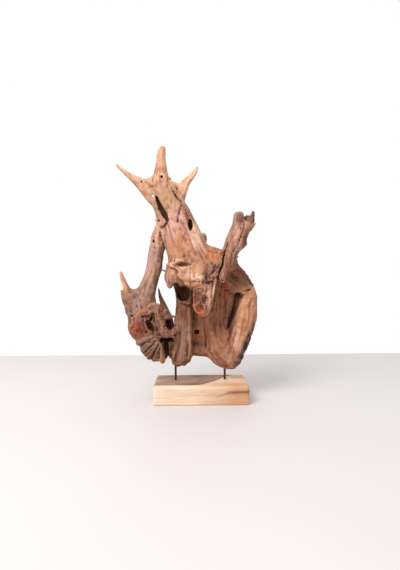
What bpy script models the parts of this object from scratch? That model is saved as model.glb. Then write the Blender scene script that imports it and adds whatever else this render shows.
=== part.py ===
"""Weathered teak root held above a teak block by two steel rods.

Metres, +Z up. The origin is the middle of the block's underside. +X is to the
right of someone who faces the piece, and -Y is towards them.

The root is one solid. It is worked out as limbs, which are tapered oval bars along
smooth paths, blended into each other, and as hollows, which are bars of the same
kind taken away. Their distances are sampled on a grid, and the surface is skinned
where the distance is zero.
"""
import math
from collections import namedtuple

import bmesh
import bpy
import numpy as np

# Driving dimensions of the block, the rods and their fits
BLOCK_LENGTH = 0.253
BLOCK_DEPTH = 0.128
BLOCK_HEIGHT = 0.050
BLOCK_EDGE_RADIUS = 0.008
ROD_DIAMETER = 0.006
ROD_SEAT_IN_BLOCK = 0.030
ROD_SEAT_IN_ROOT = 0.036
FIT_CLEARANCE = 0.0003

# Driving dimensions of the root
ROOT_HEIGHT = 0.608
ROOT_LIFT = 0.028
ROOT_TRIANGLES = 9000

# The root is drawn in its own units, as shares of the height from DRAWN_FOOT to
# DRAWN_TOP. A place on it is given as it looks from the front: x and z where the
# line of sight from the eye crosses the plane y = 0, and y as the depth behind it.
DRAWN_FOOT = 78.0
DRAWN_TOP = 686.0
UNIT = ROOT_HEIGHT / (DRAWN_TOP - DRAWN_FOOT)
EYE_DISTANCE = 1120.0
EYE = np.array([-19.0, -EYE_DISTANCE, 350.0])

# Grid of the skin and spacing of the stations along a limb, in drawn units
CELL = 3.0
STATION_STEP = 7.0
MARGIN = 3.0 * CELL

# Where the rods stand, in drawn units, and how high the root's feet are there
ROD_PLACES = {"rod_left": (-69.5, 8.0, 92.0), "rod_right": (66.0, 8.0, 88.0)}

Bar = namedtuple("Bar", "name blend stations")


def crown():
    """Three prongs like an antler, on the flat palm that the trunk ends in."""
    return [
        Bar("middle prong", 8, [(-100, 680, 3, 5.5, 5), (-103.5, 671, 3, 10.5, 9),
                                (-104.5, 652, 2, 12.5, 11), (-105, 630, 0, 15.5, 12),
                                (-106, 600, 0, 23, 12)]),
        Bar("left prong", 8, [(-224, 635, -12, 3, 3), (-203, 618, -10, 6, 6),
                              (-178, 597, -7, 10.5, 9), (-155, 578, -4, 15, 11),
                              (-128, 552, 0, 21, 13), (-110, 522, 0, 12, 14)]),
        Bar("left web", 8, [(-154, 588, -4, 9, 8), (-138, 589, -2, 12, 10), (-118, 592, 0, 18, 11)]),
        Bar("right prong", 5, [(-9.5, 628, 22, 4, 4), (-15.5, 616, 21, 7, 6.5), (-26, 601, 19, 10, 9),
                               (-36, 588, 17, 12, 11), (-47, 573, 14, 17, 13),
                               (-58, 555, 10, 22, 14), (-66, 534, 4, 20, 15)]),
        Bar("right web", 6, [(-58, 574, 12, 11, 10), (-80, 582, 6, 12, 10)]),
    ]


def trunk():
    """The trunk, from the palm down to the heavy front of the root."""
    return [
        Bar("trunk", 8, [(-106, 604, 0, 18, 11), (-101, 578, 0, 27, 13), (-91, 540, 0, 41, 18),
                         (-73, 502, -2, 45, 26), (-57, 460, -6, 51, 34), (-38, 412, -11, 55, 42),
                         (-25, 372, -10, 65, 45), (-18, 338, -8, 66, 42)]),
        Bar("neck", 6, [(-112, 512, 2, 9, 12), (-112, 492, 4, 9.5, 12), (-110, 472, 6, 8, 12)]),
        Bar("front", 22, [(-66, 342, -22, 22, 26), (-38, 352, -26, 36, 32), (4, 356, -26, 42, 34),
                          (46, 366, -16, 46, 32), (72, 374, -6, 34, 28)]),
        Bar("knot on the shoulder", 4, [(6, 444, 0, 8, 9), (11, 438, 0, 8.5, 8)]),
        Bar("brow", 6, [(-92, 366, -18, 5, 7), (-72, 370, -38, 8, 12), (-44, 378, -48, 9, 12),
                        (-10, 382, -48, 9, 12)]),
        Bar("curled lobe", 5, [(-80, 356, -24, 14, 16), (-84, 332, -28, 16, 19),
                               (-83, 313, -26, 12, 15)]),
        Bar("lobe fold", 3, [(-80, 358, -38, 4, 6), (-64, 350, -50, 5, 7), (-54, 336, -56, 5, 7),
                             (-48, 322, -54, 4, 6)]),
        Bar("cheek", 8, [(-52, 338, -44, 10, 14), (-32, 330, -50, 13, 14), (-6, 328, -50, 14, 14)]),
        Bar("nose root", 6, [(-22, 312, -46, 12, 12), (6, 296, -50, 16, 14)]),
        Bar("nose", 6, [(4, 316, -40, 22, 20), (-4, 290, -54, 21, 20), (-4, 266, -64, 20, 18),
                        (-1, 250, -68, 18, 15), (4, 239, -62, 12, 12)]),
        Bar("panel", 6, [(20, 314, -36, 16, 18), (22, 278, -42, 14, 14), (20, 244, -40, 9, 10)]),
        Bar("fin", 3, [(40, 322, -32, 7, 18), (36, 290, -40, 5, 17), (32, 262, -40, 4.5, 14),
                       (27, 243, -36, 3, 9)]),
    ]


def left_column():
    """The thin column on the left, its finger and the knotted mass it runs into."""
    return [
        Bar("column", 5, [(-100, 486, 6, 13, 15), (-112, 450, 9, 18, 18), (-116, 411, 11, 20.5, 20),
                          (-125, 362, 13, 21, 20), (-135, 328, 12, 20.5, 21),
                          (-145, 298, 9, 25, 24), (-155, 268, 5, 33, 28)]),
        Bar("finger", 8, [(-214.7, 345.5, -6, 4.8, 4.5), (-213.2, 334, -6, 6.5, 6),
                          (-209, 321, -5, 8, 8), (-203, 306, -4, 10, 11), (-193, 282, -2, 18, 18)]),
        Bar("spur", 4, [(-214.5, 296.5, -4, 3.4, 4), (-209, 281, -4, 6, 7), (-202, 262, -3, 8, 10),
                        (-194, 244, -2, 10, 14)]),
        Bar("mass", 12, [(-166, 280, 2, 33, 22), (-160, 252, 0, 40, 30), (-156, 222, -3, 44, 36),
                         (-151, 196, -4, 46, 38), (-139, 168, -4, 34, 36), (-131, 140, -2, 28, 30)]),
        Bar("outer rib", 6, [(-166, 176, -8, 11, 24), (-156, 150, -10, 12, 22),
                             (-145, 125, -8, 10, 18)]),
        Bar("middle rib", 6, [(-134, 168, -16, 12, 18), (-132, 142, -16, 12, 20),
                              (-128, 118, -10, 12, 18)]),
        Bar("inner rib", 4, [(-116, 156, -18, 8, 14), (-109, 132, -22, 8, 18),
                             (-106, 107, -16, 8.5, 16)]),
        Bar("knob", 4, [(-140, 232, -34, 7, 9), (-134, 245, -40, 9, 11), (-122, 249, -42, 10, 11),
                        (-110, 241, -38, 9, 10), (-106, 228, -34, 8, 9)]),
        Bar("twisted root", 5, [(-133, 220, -40, 9, 10), (-118, 208, -50, 12, 11),
                                (-104, 194, -52, 13, 11), (-90, 184, -44, 11, 11),
                                (-76, 186, -26, 9, 10)]),
        Bar("burl", 8, [(-184, 201, -30, 14, 12), (-172, 190, -38, 19, 12), (-160, 184, -34, 14, 12)]),
        Bar("spike", 5, [(-114, 302, 26, 2.4, 2.4), (-110, 284, 26, 4.8, 5), (-103, 262, 25, 8, 8),
                         (-96, 242, 22, 9.5, 10), (-88, 222, 16, 12, 12)]),
        Bar("bridge", 8, [(-104, 232, 12, 18, 16), (-93, 194, 12, 25, 18), (-92, 152, 12, 24, 18),
                          (-92, 122, 12, 20, 14)]),
    ]


def pillar():
    """The fluted pillar under the front, which the left rod enters."""
    return [
        Bar("pillar", 8, [(-48, 312, 4, 23, 26), (-44, 268, 2, 22, 27), (-47, 200, 2, 25, 28),
                          (-52, 142, 3, 30, 28), (-55, 114, 4, 29, 26), (-61, 107, 4, 20, 19)]),
        Bar("left flute", 3, [(-57, 244, -12, 7, 20), (-62, 180, -14, 8, 22), (-72, 116, -10, 10, 22)]),
        Bar("middle flute", 3, [(-43, 248, -16, 6, 19), (-46, 180, -17, 7, 21), (-54, 104, -12, 10, 22)]),
        Bar("right flute", 3, [(-29, 246, -12, 6, 18), (-30, 180, -12, 7, 20), (-33, 114, -10, 8, 22)]),
    ]


def right_side():
    """The broken stub, the sweeping shoulder, the recessed wall and the outer limb."""
    return [
        Bar("stub", 8, [(70, 368, -8, 22, 26), (80, 400, -8, 22, 25), (91, 424, -8, 26, 24),
                        (102, 446, -8, 27.5, 23), (113, 472, -7, 27.5, 20), (116, 482, -7, 26, 16)]),
        Bar("stub bump", 5, [(106, 420, -4, 13, 14), (117, 427, -4, 13, 12)]),
        Bar("stub left rim", 4, [(102, 486, -10, 13, 13), (106, 500, -9, 13.5, 12)]),
        Bar("stub front rim", 4, [(120, 470, -20, 14, 6), (134, 476, -18, 10, 5)]),
        Bar("stub right tip", 4, [(132, 466, -12, 12, 10), (148, 478, -14, 3, 4)]),
        Bar("stub back wall", 3, [(114, 488, 11, 14, 6), (130, 486, 12, 15, 6), (140, 486, 12, 13, 6)]),
        Bar("stub back spike", 4, [(138, 480, 10, 8, 6), (144, 508, 10, 4.5, 4)]),
        Bar("hanging finger", 4, [(66, 362, -34, 9, 10), (60, 338, -42, 9.5, 10), (60, 323, -42, 7.5, 8)]),
        Bar("shoulder", 12, [(62, 372, 6, 24, 28), (89, 347, 10, 25, 26), (111, 322, 10, 24, 24),
                             (124, 305, 6, 19, 20)]),
        Bar("wall", 10, [(54, 340, 20, 50, 22), (44, 300, 22, 62, 20), (36, 250, 23, 68, 18),
                         (36, 200, 23, 68, 18), (40, 160, 22, 68, 19), (42, 136, 20, 60, 17)]),
        Bar("wall foot", 8, [(-40, 133, 12, 14, 14), (-4, 133, 14, 15, 15), (26, 128, 14, 15, 15)]),
        Bar("wall ridge", 6, [(26, 236, 6, 6, 9), (31, 180, 6, 8, 10), (33, 130, 8, 9, 11)]),
        Bar("outer limb", 6, [(142, 298, -4, 8, 11), (137, 279, -8, 18, 19), (129, 252, -10, 27, 25),
                              (123, 222, -10, 32, 27), (114, 188, -8, 30, 28),
                              (105, 158, -5, 28, 27), (96, 128, -1, 24, 25), (90, 105, 3, 22, 22),
                              (86, 94, 5, 15, 16)]),
        Bar("bark edge", 5, [(139, 206, 6, 8, 14), (131, 174, 8, 8.5, 14), (118, 142, 8, 9.5, 14),
                             (109, 118, 8, 9, 14)]),
        Bar("foot", 8, [(38, 134, 14, 26, 14), (54, 112, 10, 24, 17), (72, 103, 8, 22, 18)]),
    ]


def back():
    """Ribs and a broken root on the side that faces away."""
    return [
        Bar("long rib", 10, [(-40, 440, 26, 16, 12), (-14, 370, 38, 20, 14), (4, 300, 42, 18, 14),
                             (24, 220, 40, 15, 12), (34, 150, 36, 12, 10)]),
        Bar("side rib", 10, [(60, 366, 32, 18, 12), (92, 320, 36, 16, 14), (110, 260, 26, 15, 16),
                             (108, 190, 22, 14, 15), (98, 130, 20, 13, 13)]),
        Bar("pillar rib", 10, [(-30, 330, 36, 16, 13), (-44, 270, 34, 13, 13), (-46, 200, 32, 13, 12),
                               (-52, 130, 30, 12, 10)]),
        Bar("mass rib", 10, [(-140, 300, 26, 14, 12), (-150, 250, 28, 16, 15), (-140, 200, 30, 16, 15),
                             (-124, 150, 24, 12, 12)]),
        Bar("broken root", 8, [(20, 330, 40, 20, 20), (14, 314, 64, 14, 14), (10, 304, 76, 10, 10)]),
    ]


def hollows():
    """Slits, holes and crevices, taken away in this order."""
    return [
        Bar("slit", 2, [(-119, 550, -12, 2.6, 14), (-113, 533, -14, 5, 18), (-104, 516, -16, 6.5, 22),
                        (-96, 501, -18, 7, 24), (-89, 488, -20, 3.4, 20)]),
        Bar("pinhole", 1, [(-127, 553, -40, 3.8, 3.8), (-127, 553, 40, 3.8, 3.8)]),
        Bar("oval hole", 2, [(-27, 486, -28, 5, 20), (-26, 473, -30, 7.5, 26), (-26, 460, -30, 3, 18)]),
        Bar("upper window", 2, [(-93.5, 388, -70, 4.6, 12), (-93.5, 388, 70, 4.6, 12)]),
        Bar("upper window foot", 2, [(-97.5, 370, -70, 4, 13), (-97.5, 370, 70, 4, 13)]),
        Bar("eye slit", 2, [(-62, 365, -62, 5.5, 16), (-48, 363, -64, 6, 16), (-31, 366, -64, 2.4, 9)]),
        Bar("cavity", 3, [(-48, 289, -90, 23, 25), (-48, 288, -20, 23, 25), (-46, 286, 2, 19, 21),
                          (-45, 284, 12, 10, 12)]),
        Bar("cavity notch", 3, [(-70, 310, -70, 9, 8), (-65, 305, -20, 10, 10), (-54, 296, 0, 8, 8)]),
        Bar("cavity corner", 3, [(-33, 273, -70, 9, 9), (-38, 277, -20, 11, 11)]),
        Bar("saw cut", 2, [(-4, 244, -126, 48, 48), (-4, 243, -134, 48, 48)]),
        Bar("crevice", 3, [(103, 283, 2, 9.5, 24), (97, 259, 2, 7, 24), (88, 233, 4, 7, 22),
                           (80, 213, 6, 6.5, 18), (74, 194, 8, 4.5, 12)]),
        Bar("crescent hole", 2, [(-9, 180, -20, 9, 7), (-9, 181, 18, 8, 6)]),
        Bar("long crack", 2, [(76, 442, -32, 2, 10), (73, 421, -32, 2.8, 12), (67, 404, -34, 3, 13),
                              (62.6, 382, -38, 3.4, 16), (60.5, 366, -42, 3.8, 18),
                              (55, 349, -46, 3.8, 18), (50, 334, -48, 2.4, 14)]),
        Bar("stub mouth", 2, [(133, 512, -5, 11, 9), (130, 486, -5, 8.5, 8), (126, 466, -5, 4, 4)]),
        Bar("knot hole", 2, [(-134, 226, -60, 6, 5.5), (-134, 225, -22, 5, 5)]),
        Bar("left hollow", 3, [(-144, 210, -46, 5, 14), (-137, 201, -46, 8, 20), (-130, 188, -46, 4, 14)]),
        Bar("right hollow", 3, [(-84, 206, -60, 13, 12), (-84, 205, -6, 11, 11)]),
        Bar("mouth", 3, [(-108, 158, -34, 7, 24), (-95, 161, -32, 8.5, 28), (-82, 161, -30, 7, 20)]),
        Bar("mouth crevice", 3, [(-97, 150, -28, 6, 28), (-94, 128, -28, 6.5, 28),
                                 (-92, 108, -28, 6, 26), (-90, 96, -28, 5, 24)]),
        Bar("back hollow", 6, [(-62, 388, 62, 16, 22), (-48, 350, 66, 12, 22)]),
        Bar("back groove", 6, [(60, 300, 60, 14, 24), (64, 230, 58, 13, 24), (60, 180, 56, 10, 22)]),
    ]


def to_root(station):
    """Places a drawn station in space along its line of sight, in drawn units."""
    x, z, y, width, depth = station
    away = (y + EYE_DISTANCE) / EYE_DISTANCE
    place = EYE + (np.array([x, 0.0, z]) - EYE) * away
    return np.array([*place, width * away, depth])


def to_world(points):
    """Drawn units to metres, with the root's foot ROOT_LIFT above the block."""
    foot = np.array([0.0, 0.0, DRAWN_FOOT])
    return (np.asarray(points) - foot) * UNIT + np.array([0.0, 0.0, BLOCK_HEIGHT + ROOT_LIFT])


def smooth_path(stations):
    """Stations along a Catmull-Rom curve through the given ones, evenly fine."""
    knots = [to_root(station) for station in stations]
    knots = [2 * knots[0] - knots[1]] + knots + [2 * knots[-1] - knots[-2]]
    path = []
    for before, start, end, after in zip(knots, knots[1:], knots[2:], knots[3:]):
        steps = max(1, math.ceil(np.linalg.norm(end[:3] - start[:3]) / STATION_STEP))
        for t in np.arange(steps) / steps:
            path.append(0.5 * (2 * start + (end - before) * t
                               + (2 * before - 5 * start + 4 * end - after) * t ** 2
                               + (3 * start - before - 3 * end + after) * t ** 3))
    return np.array(path + [knots[-2]])


def bar_distance(points, path):
    """Distance from points to the surface of a bar, negative inside it."""
    axis = path[:, :3]
    runs = axis[1:] - axis[:-1]
    overall = (axis[-1] - axis[0]) / np.linalg.norm(axis[-1] - axis[0])
    across = np.array([0.0, 0.0, 1.0]) if abs(overall[1]) > 0.8 else np.array([0.0, 1.0, 0.0])
    nearest = np.full(points.shape[1], np.inf, dtype=np.float32)
    index = np.zeros(points.shape[1], dtype=np.int32)
    share = np.zeros(points.shape[1], dtype=np.float32)
    for number, (start, run) in enumerate(zip(axis, runs)):
        offset = points - start[:, None].astype(np.float32)
        t = np.clip(run.astype(np.float32) @ offset / np.float32(run @ run), 0.0, 1.0)
        offset -= run[:, None].astype(np.float32) * t
        gap = np.einsum("ij,ij->j", offset, offset)
        closer = gap < nearest
        nearest[closer] = gap[closer]
        index[closer] = number
        share[closer] = t[closer]
    value = path[index] + (path[index + 1] - path[index]) * share[:, None]
    along = runs / np.linalg.norm(runs, axis=1)[:, None]
    deep = across - along * (along @ across)[:, None]
    deep /= np.linalg.norm(deep, axis=1)[:, None]
    side = np.cross(deep, along)
    offset = points.T - value[:, :3]
    width = np.maximum(value[:, 3], 0.5)
    depth = np.maximum(value[:, 4], 0.5)
    end = np.minimum(width, depth)
    parts = [np.einsum("ij,ij->i", offset, frame[index]) for frame in (side, deep, along)]
    near = np.sqrt(sum((part / size) ** 2 for part, size in zip(parts, (width, depth, end))))
    slope = np.sqrt(sum((part / size ** 2) ** 2 for part, size in zip(parts, (width, depth, end))))
    return np.where(near < 1e-4, -end, near * (near - 1.0) / np.maximum(slope, 1e-9))


def blend_lower(a, b, reach):
    """Lower of two distances, rounded where they are within reach of each other."""
    overlap = np.maximum(reach - np.abs(a - b), 0.0) / reach
    return np.minimum(a, b) - overlap ** 2 * reach / 4


def root_field():
    """Signed distance of the root on a grid, with the grid's first corner."""
    limbs = crown() + trunk() + left_column() + pillar() + right_side() + back()
    paths = [(bar, smooth_path(bar.stations)) for bar in limbs]
    sizes = [path[:, 3:].max(axis=1)[:, None] for _, path in paths]
    low = np.min([(path[:, :3] - size).min(axis=0) for (_, path), size in zip(paths, sizes)], axis=0)
    high = np.max([(path[:, :3] + size).max(axis=0) for (_, path), size in zip(paths, sizes)], axis=0)
    low -= MARGIN
    high += MARGIN
    counts = np.ceil((high - low) / CELL).astype(int) + 1
    ticks = [low[i] + CELL * np.arange(counts[i]) for i in range(3)]
    field = np.full(counts, 1000.0, dtype=np.float32)
    for bar, path in paths:
        apply_bar(field, ticks, path, bar.blend, 1.0)
    for bar in hollows():
        apply_bar(field, ticks, smooth_path(bar.stations), bar.blend, -1.0)
    return field, low


def apply_bar(field, ticks, path, blend, sign):
    """Adds a bar to the field where sign is 1, and takes it away where it is -1."""
    grow = path[:, 3:].max(axis=1)[:, None] + blend + 2 * CELL
    low = (path[:, :3] - grow).min(axis=0)
    high = (path[:, :3] + grow).max(axis=0)
    spans = [slice(*np.searchsorted(tick, (low[i], high[i]))) for i, tick in enumerate(ticks)]
    grids = np.meshgrid(*[tick[span] for tick, span in zip(ticks, spans)], indexing="ij")
    points = np.array([grid.ravel() for grid in grids], dtype=np.float32)
    distance = bar_distance(points, path).reshape(grids[0].shape)
    part = field[tuple(spans)]
    field[tuple(spans)] = sign * blend_lower(sign * part, distance, blend)


def settle(field):
    """Fills the corners where the solid would touch itself along a bare edge or point."""
    corners = np.array([(i, j, k) for i in (0, 1) for j in (0, 1) for k in (0, 1)])
    faces = [np.flatnonzero(corners[:, axis] == side) for axis in range(3) for side in (0, 1)]
    while True:
        inside = field < 0
        size = np.array(field.shape) - 1
        block = np.array([inside[i:size[0] + i, j:size[1] + j, k:size[2] + k]
                          for i, j, k in corners])
        pinched = np.zeros(size, dtype=bool)
        for a, b, c, d in faces:
            pinched |= (block[a] == block[d]) & (block[b] == block[c]) & (block[a] != block[b])
        total = block.sum(axis=0)
        for corner in range(4):
            pair = block[corner] == block[7 - corner]
            pinched |= pair & block[corner] & (total == 2)
            pinched |= pair & ~block[corner] & (total == 6)
        cells = np.argwhere(pinched)
        if not len(cells):
            return
        for corner in corners:
            place = tuple((cells + corner).T)
            field[place] = np.minimum(field[place], -0.05 * CELL)


def skin(field, low):
    """Faces on the zero surface: a vertex in each crossed cell, a quad on each crossed edge."""
    inside = field < 0
    corners = [(i, j, k) for i in (0, 1) for j in (0, 1) for k in (0, 1)]
    size = np.array(field.shape) - 1
    total = sum(inside[i:size[0] + i, j:size[1] + j, k:size[2] + k].astype(np.int8)
                for i, j, k in corners)
    cells = np.argwhere((total > 0) & (total < 8))
    values = np.array([field[tuple((cells + corner).T)] for corner in corners])
    place = np.zeros((len(cells), 3))
    crossings = np.zeros(len(cells))
    for a, first in enumerate(corners):
        for b, second in enumerate(corners):
            step = np.array(second) - first
            if step.min() < 0 or step.sum() != 1:
                continue
            crossed = (values[a] < 0) != (values[b] < 0)
            t = values[a][crossed] / (values[a][crossed] - values[b][crossed])
            place[crossed] += np.array(first) + t[:, None] * step
            crossings[crossed] += 1
    vertices = low + CELL * (cells + place / crossings[:, None])
    number = np.full(size, -1)
    number[tuple(cells.T)] = np.arange(len(cells))
    quads = []
    for axis in range(3):
        one, two = (axis + 1) % 3, (axis + 2) % 3
        ahead = np.roll(inside, -1, axis=axis)
        edges = np.argwhere(inside != ahead)
        edges = edges[edges.min(axis=1) > 0]
        around = []
        for back_one, back_two in ((0, 0), (1, 0), (1, 1), (0, 1)):
            cell = edges.copy()
            cell[:, one] -= back_one
            cell[:, two] -= back_two
            around.append(number[tuple(cell.T)])
        faces = np.array(around).T
        outward = inside[tuple(edges.T)]
        faces[~outward] = faces[~outward][:, ::-1]
        quads.append(faces)
    return vertices, np.concatenate(quads)


def material(name, colour, roughness, metallic=0.0):
    """Principled material of one colour."""
    made = bpy.data.materials.new(name)
    made.use_nodes = True
    shader = made.node_tree.nodes["Principled BSDF"]
    shader.inputs["Base Color"].default_value = (*colour, 1.0)
    shader.inputs["Roughness"].default_value = roughness
    shader.inputs["Metallic"].default_value = metallic
    return made


def add_object(name, mesh, finish=None):
    """Links a mesh to the scene as a named object."""
    made = bpy.data.objects.new(name, mesh)
    bpy.context.scene.collection.objects.link(made)
    if finish:
        mesh.materials.append(finish)
    return made


def cylinder(name, radius, bottom, top, place, finish=None, sides=24):
    """Upright cylinder from bottom to top at a place (x, y)."""
    mesh = bpy.data.meshes.new(name)
    shape = bmesh.new()
    bmesh.ops.create_cone(shape, cap_ends=True, segments=sides, radius1=radius, radius2=radius,
                          depth=top - bottom)
    shape.to_mesh(mesh)
    shape.free()
    made = add_object(name, mesh, finish)
    made.location = (place[0], place[1], (top + bottom) / 2)
    mesh.shade_smooth()
    mesh.set_sharp_from_angle(angle=math.radians(40))
    return made


def cut(target, tool):
    """Takes a tool's shape out of a target."""
    tool.hide_render = True
    tool.display_type = "WIRE"
    change = target.modifiers.new("cut " + tool.name, "BOOLEAN")
    change.operation = "DIFFERENCE"
    change.object = tool


def make_root():
    """The root's skin, thinned to about ROOT_TRIANGLES triangles."""
    field, low = root_field()
    settle(field)
    vertices, faces = skin(field, low)
    mesh = bpy.data.meshes.new("teak_root")
    mesh.from_pydata(to_world(vertices).tolist(), [], faces.tolist())
    mesh.shade_smooth()
    root = add_object("teak_root", mesh, material("weathered teak", (0.42, 0.24, 0.13), 0.65))
    thin = root.modifiers.new("thin", "DECIMATE")
    thin.ratio = ROOT_TRIANGLES / (2 * len(faces))
    return root


def make_block():
    """The block with its softened edges."""
    mesh = bpy.data.meshes.new("base_block")
    shape = bmesh.new()
    bmesh.ops.create_cube(shape, size=1.0)
    bmesh.ops.scale(shape, vec=(BLOCK_LENGTH, BLOCK_DEPTH, BLOCK_HEIGHT), verts=shape.verts)
    shape.to_mesh(mesh)
    shape.free()
    block = add_object("base_block", mesh, material("sanded teak", (0.68, 0.45, 0.26), 0.55))
    block.location.z = BLOCK_HEIGHT / 2
    soften = block.modifiers.new("soften", "BEVEL")
    soften.width = BLOCK_EDGE_RADIUS
    soften.segments = 4
    return block


def make_rods(root, block):
    """Each rod with its socket in the block and in the root."""
    steel = material("dark steel", (0.05, 0.05, 0.055), 0.4, 1.0)
    radius = ROD_DIAMETER / 2
    bottom = BLOCK_HEIGHT - ROD_SEAT_IN_BLOCK
    for name, (x, y, foot) in ROD_PLACES.items():
        place = to_world((x, y, foot))
        top = place[2] + ROD_SEAT_IN_ROOT
        cylinder(name, radius, bottom, top, place, steel)
        socket = cylinder(name + "_socket", radius + FIT_CLEARANCE, bottom - FIT_CLEARANCE,
                          top + FIT_CLEARANCE, place)
        cut(block, socket)
        cut(root, socket)


def build():
    """Clears the scene and models the piece."""
    for old in list(bpy.data.objects):
        bpy.data.objects.remove(old, do_unlink=True)
    root = make_root()
    block = make_block()
    make_rods(root, block)


build()
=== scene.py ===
"""Looks of the weathered teak root on its stand: skin, finishes, light and camera.

Metres, +Z up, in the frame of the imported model. The root's skin is worked out again,
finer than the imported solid: the same limbs and hollows, with the small twigs, pits and
cracks added, and with a relief that follows the grain of each limb.
"""
import math
from collections import namedtuple
from itertools import product

import bmesh
import bpy
import numpy as np
from mathutils import Matrix, Vector


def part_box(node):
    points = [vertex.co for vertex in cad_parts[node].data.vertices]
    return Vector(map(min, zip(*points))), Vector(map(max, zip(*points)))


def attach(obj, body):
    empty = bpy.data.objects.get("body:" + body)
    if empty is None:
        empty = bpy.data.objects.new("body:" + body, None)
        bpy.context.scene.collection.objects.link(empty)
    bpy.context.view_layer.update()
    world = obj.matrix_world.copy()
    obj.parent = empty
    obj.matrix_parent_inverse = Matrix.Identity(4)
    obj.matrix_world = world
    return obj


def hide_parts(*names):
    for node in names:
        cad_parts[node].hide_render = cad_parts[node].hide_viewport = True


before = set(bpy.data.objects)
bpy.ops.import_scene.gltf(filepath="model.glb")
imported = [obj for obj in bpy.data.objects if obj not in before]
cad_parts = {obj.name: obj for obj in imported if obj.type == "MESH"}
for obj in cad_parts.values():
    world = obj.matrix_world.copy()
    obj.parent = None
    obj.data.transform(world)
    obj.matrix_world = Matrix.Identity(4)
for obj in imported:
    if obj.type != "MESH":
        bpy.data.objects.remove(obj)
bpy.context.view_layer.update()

# The root is drawn in its own units, as shares of its height from DRAWN_FOOT to
# DRAWN_TOP. A place on it is given as it looks from the front: x and z where the line
# of sight from the eye crosses the plane y = 0, and y as the depth behind it.
DRAWN_FOOT = 78.0
DRAWN_TOP = 686.0
EYE_DISTANCE = 1120.0
EYE = np.array([-19.0, -EYE_DISTANCE, 350.0])
ROOT_LOW, ROOT_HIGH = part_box("teak_root")
UNIT = (ROOT_HIGH.z - ROOT_LOW.z) / (DRAWN_TOP - DRAWN_FOOT)

# Grids of the skin, in drawn units: a coarse one that finds it and a fine one on it
CELL = 1.6
SPLIT = 3
COARSE = CELL * SPLIT
MARGIN = 2.0 * COARSE
# How far from the skin the fine field is worked out exactly, and how far round small parts
BAND = 7.0
SMALL_BAND = 3.0 * BAND
STATION_STEP = 7.0
ROOT_TRIANGLES = 196000
# The eight corners of a cell
CORNERS = np.array(list(product((0, 1), repeat=3)))

# A bar of oval section: how far it blends into the wood round it, and its stations,
# each a place x, z, y with half the bar's width and half its depth
Bar = namedtuple("Bar", "name blend stations")
# A soft oval place and its reach to the side, upward and in depth
Spot = namedtuple("Spot", "x z y wide tall deep")


# The root's form

# Three prongs like an antler, on the flat palm that the trunk ends in
CROWN = [
    Bar("middle prong", 8, [
        (-100, 680, 3, 7, 6), (-103, 671, 3, 11, 9), (-104.5, 652, 2, 12.5, 11),
        (-105, 630, 0, 15.5, 12), (-106, 600, 0, 23, 12)]),
    Bar("left prong", 8, [
        (-224, 635, -12, 3, 3), (-203, 618, -10, 6, 6), (-178, 597, -7, 10.5, 9),
        (-155, 578, -4, 15, 11), (-128, 552, 0, 21, 13), (-110, 522, 0, 12, 14)]),
    Bar("left web", 8, [(-154, 588, -4, 9, 8), (-138, 589, -2, 12, 10), (-118, 592, 0, 18, 11)]),
    Bar("right prong", 5, [
        (-9.5, 628, 22, 4, 4), (-15.5, 616, 21, 7, 6.5), (-26, 601, 19, 10, 9),
        (-36, 588, 17, 12, 11), (-47, 573, 14, 17, 13), (-58, 555, 10, 22, 14),
        (-66, 534, 4, 20, 15)]),
    Bar("right web", 6, [(-58, 574, 12, 11, 10), (-80, 582, 6, 12, 10)]),
]

# The trunk, from the palm down to the heavy front of the root
TRUNK = [
    Bar("trunk", 8, [
        (-106, 604, 0, 18, 11), (-101, 578, 0, 27, 13), (-91, 540, 0, 41, 18),
        (-73, 502, -2, 45, 26), (-57, 460, -6, 51, 34), (-38, 412, -11, 55, 42),
        (-25, 372, -10, 65, 45), (-18, 338, -8, 66, 42)]),
    Bar("neck", 6, [(-112, 512, 2, 9, 12), (-112, 492, 4, 9.5, 12), (-110, 472, 6, 8, 12)]),
    Bar("front", 22, [
        (-66, 342, -22, 22, 26), (-38, 352, -26, 36, 32), (4, 356, -26, 42, 34),
        (46, 366, -16, 46, 32), (72, 374, -6, 34, 28)]),
    Bar("knot on the shoulder", 4, [
        (8, 446, 0, 6, 8), (10.5, 439, 0, 8, 8), (10, 430, 0, 7.5, 8)]),
    Bar("brow", 6, [
        (-92, 366, -18, 5, 7), (-72, 370, -38, 8, 12), (-44, 378, -48, 9, 12),
        (-10, 382, -48, 9, 12)]),
    Bar("curled lobe", 5, [
        (-80, 356, -24, 14, 16), (-84, 332, -28, 16, 19), (-83, 313, -26, 12, 15)]),
    Bar("lobe fold", 2.5, [
        (-93, 364, -32, 3, 5), (-77, 362, -45, 4, 6), (-63, 356, -53, 4.5, 7),
        (-54, 344, -57, 5, 7), (-52, 328, -56, 4.5, 6)]),
    Bar("cheek", 8, [(-52, 338, -44, 10, 14), (-32, 330, -50, 13, 14), (-6, 328, -50, 14, 14)]),
    Bar("ledge over the nose", 6, [
        (-34, 314, -50, 8, 10), (-18, 311, -57, 9, 11), (-2, 313, -56, 8, 10)]),
    Bar("nose root", 6, [(-22, 312, -46, 12, 12), (6, 296, -50, 16, 14)]),
    Bar("nose", 4, [
        (2, 312, -42, 22, 18), (-4, 290, -54, 20, 18), (-5, 268, -62, 19, 17),
        (-3, 250, -66, 18, 15), (3, 236, -60, 13, 12)]),
    Bar("panel", 3, [
        (20, 316, -42, 18, 18), (22, 280, -50, 16, 14), (20, 252, -50, 13, 11),
        (14, 234, -48, 8, 8)]),
    Bar("fin", 2.5, [
        (39, 324, -42, 5, 17), (34.5, 290, -52, 4, 16), (30.5, 262, -50, 3.6, 14),
        (26, 244, -44, 3, 11)]),
]

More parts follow.
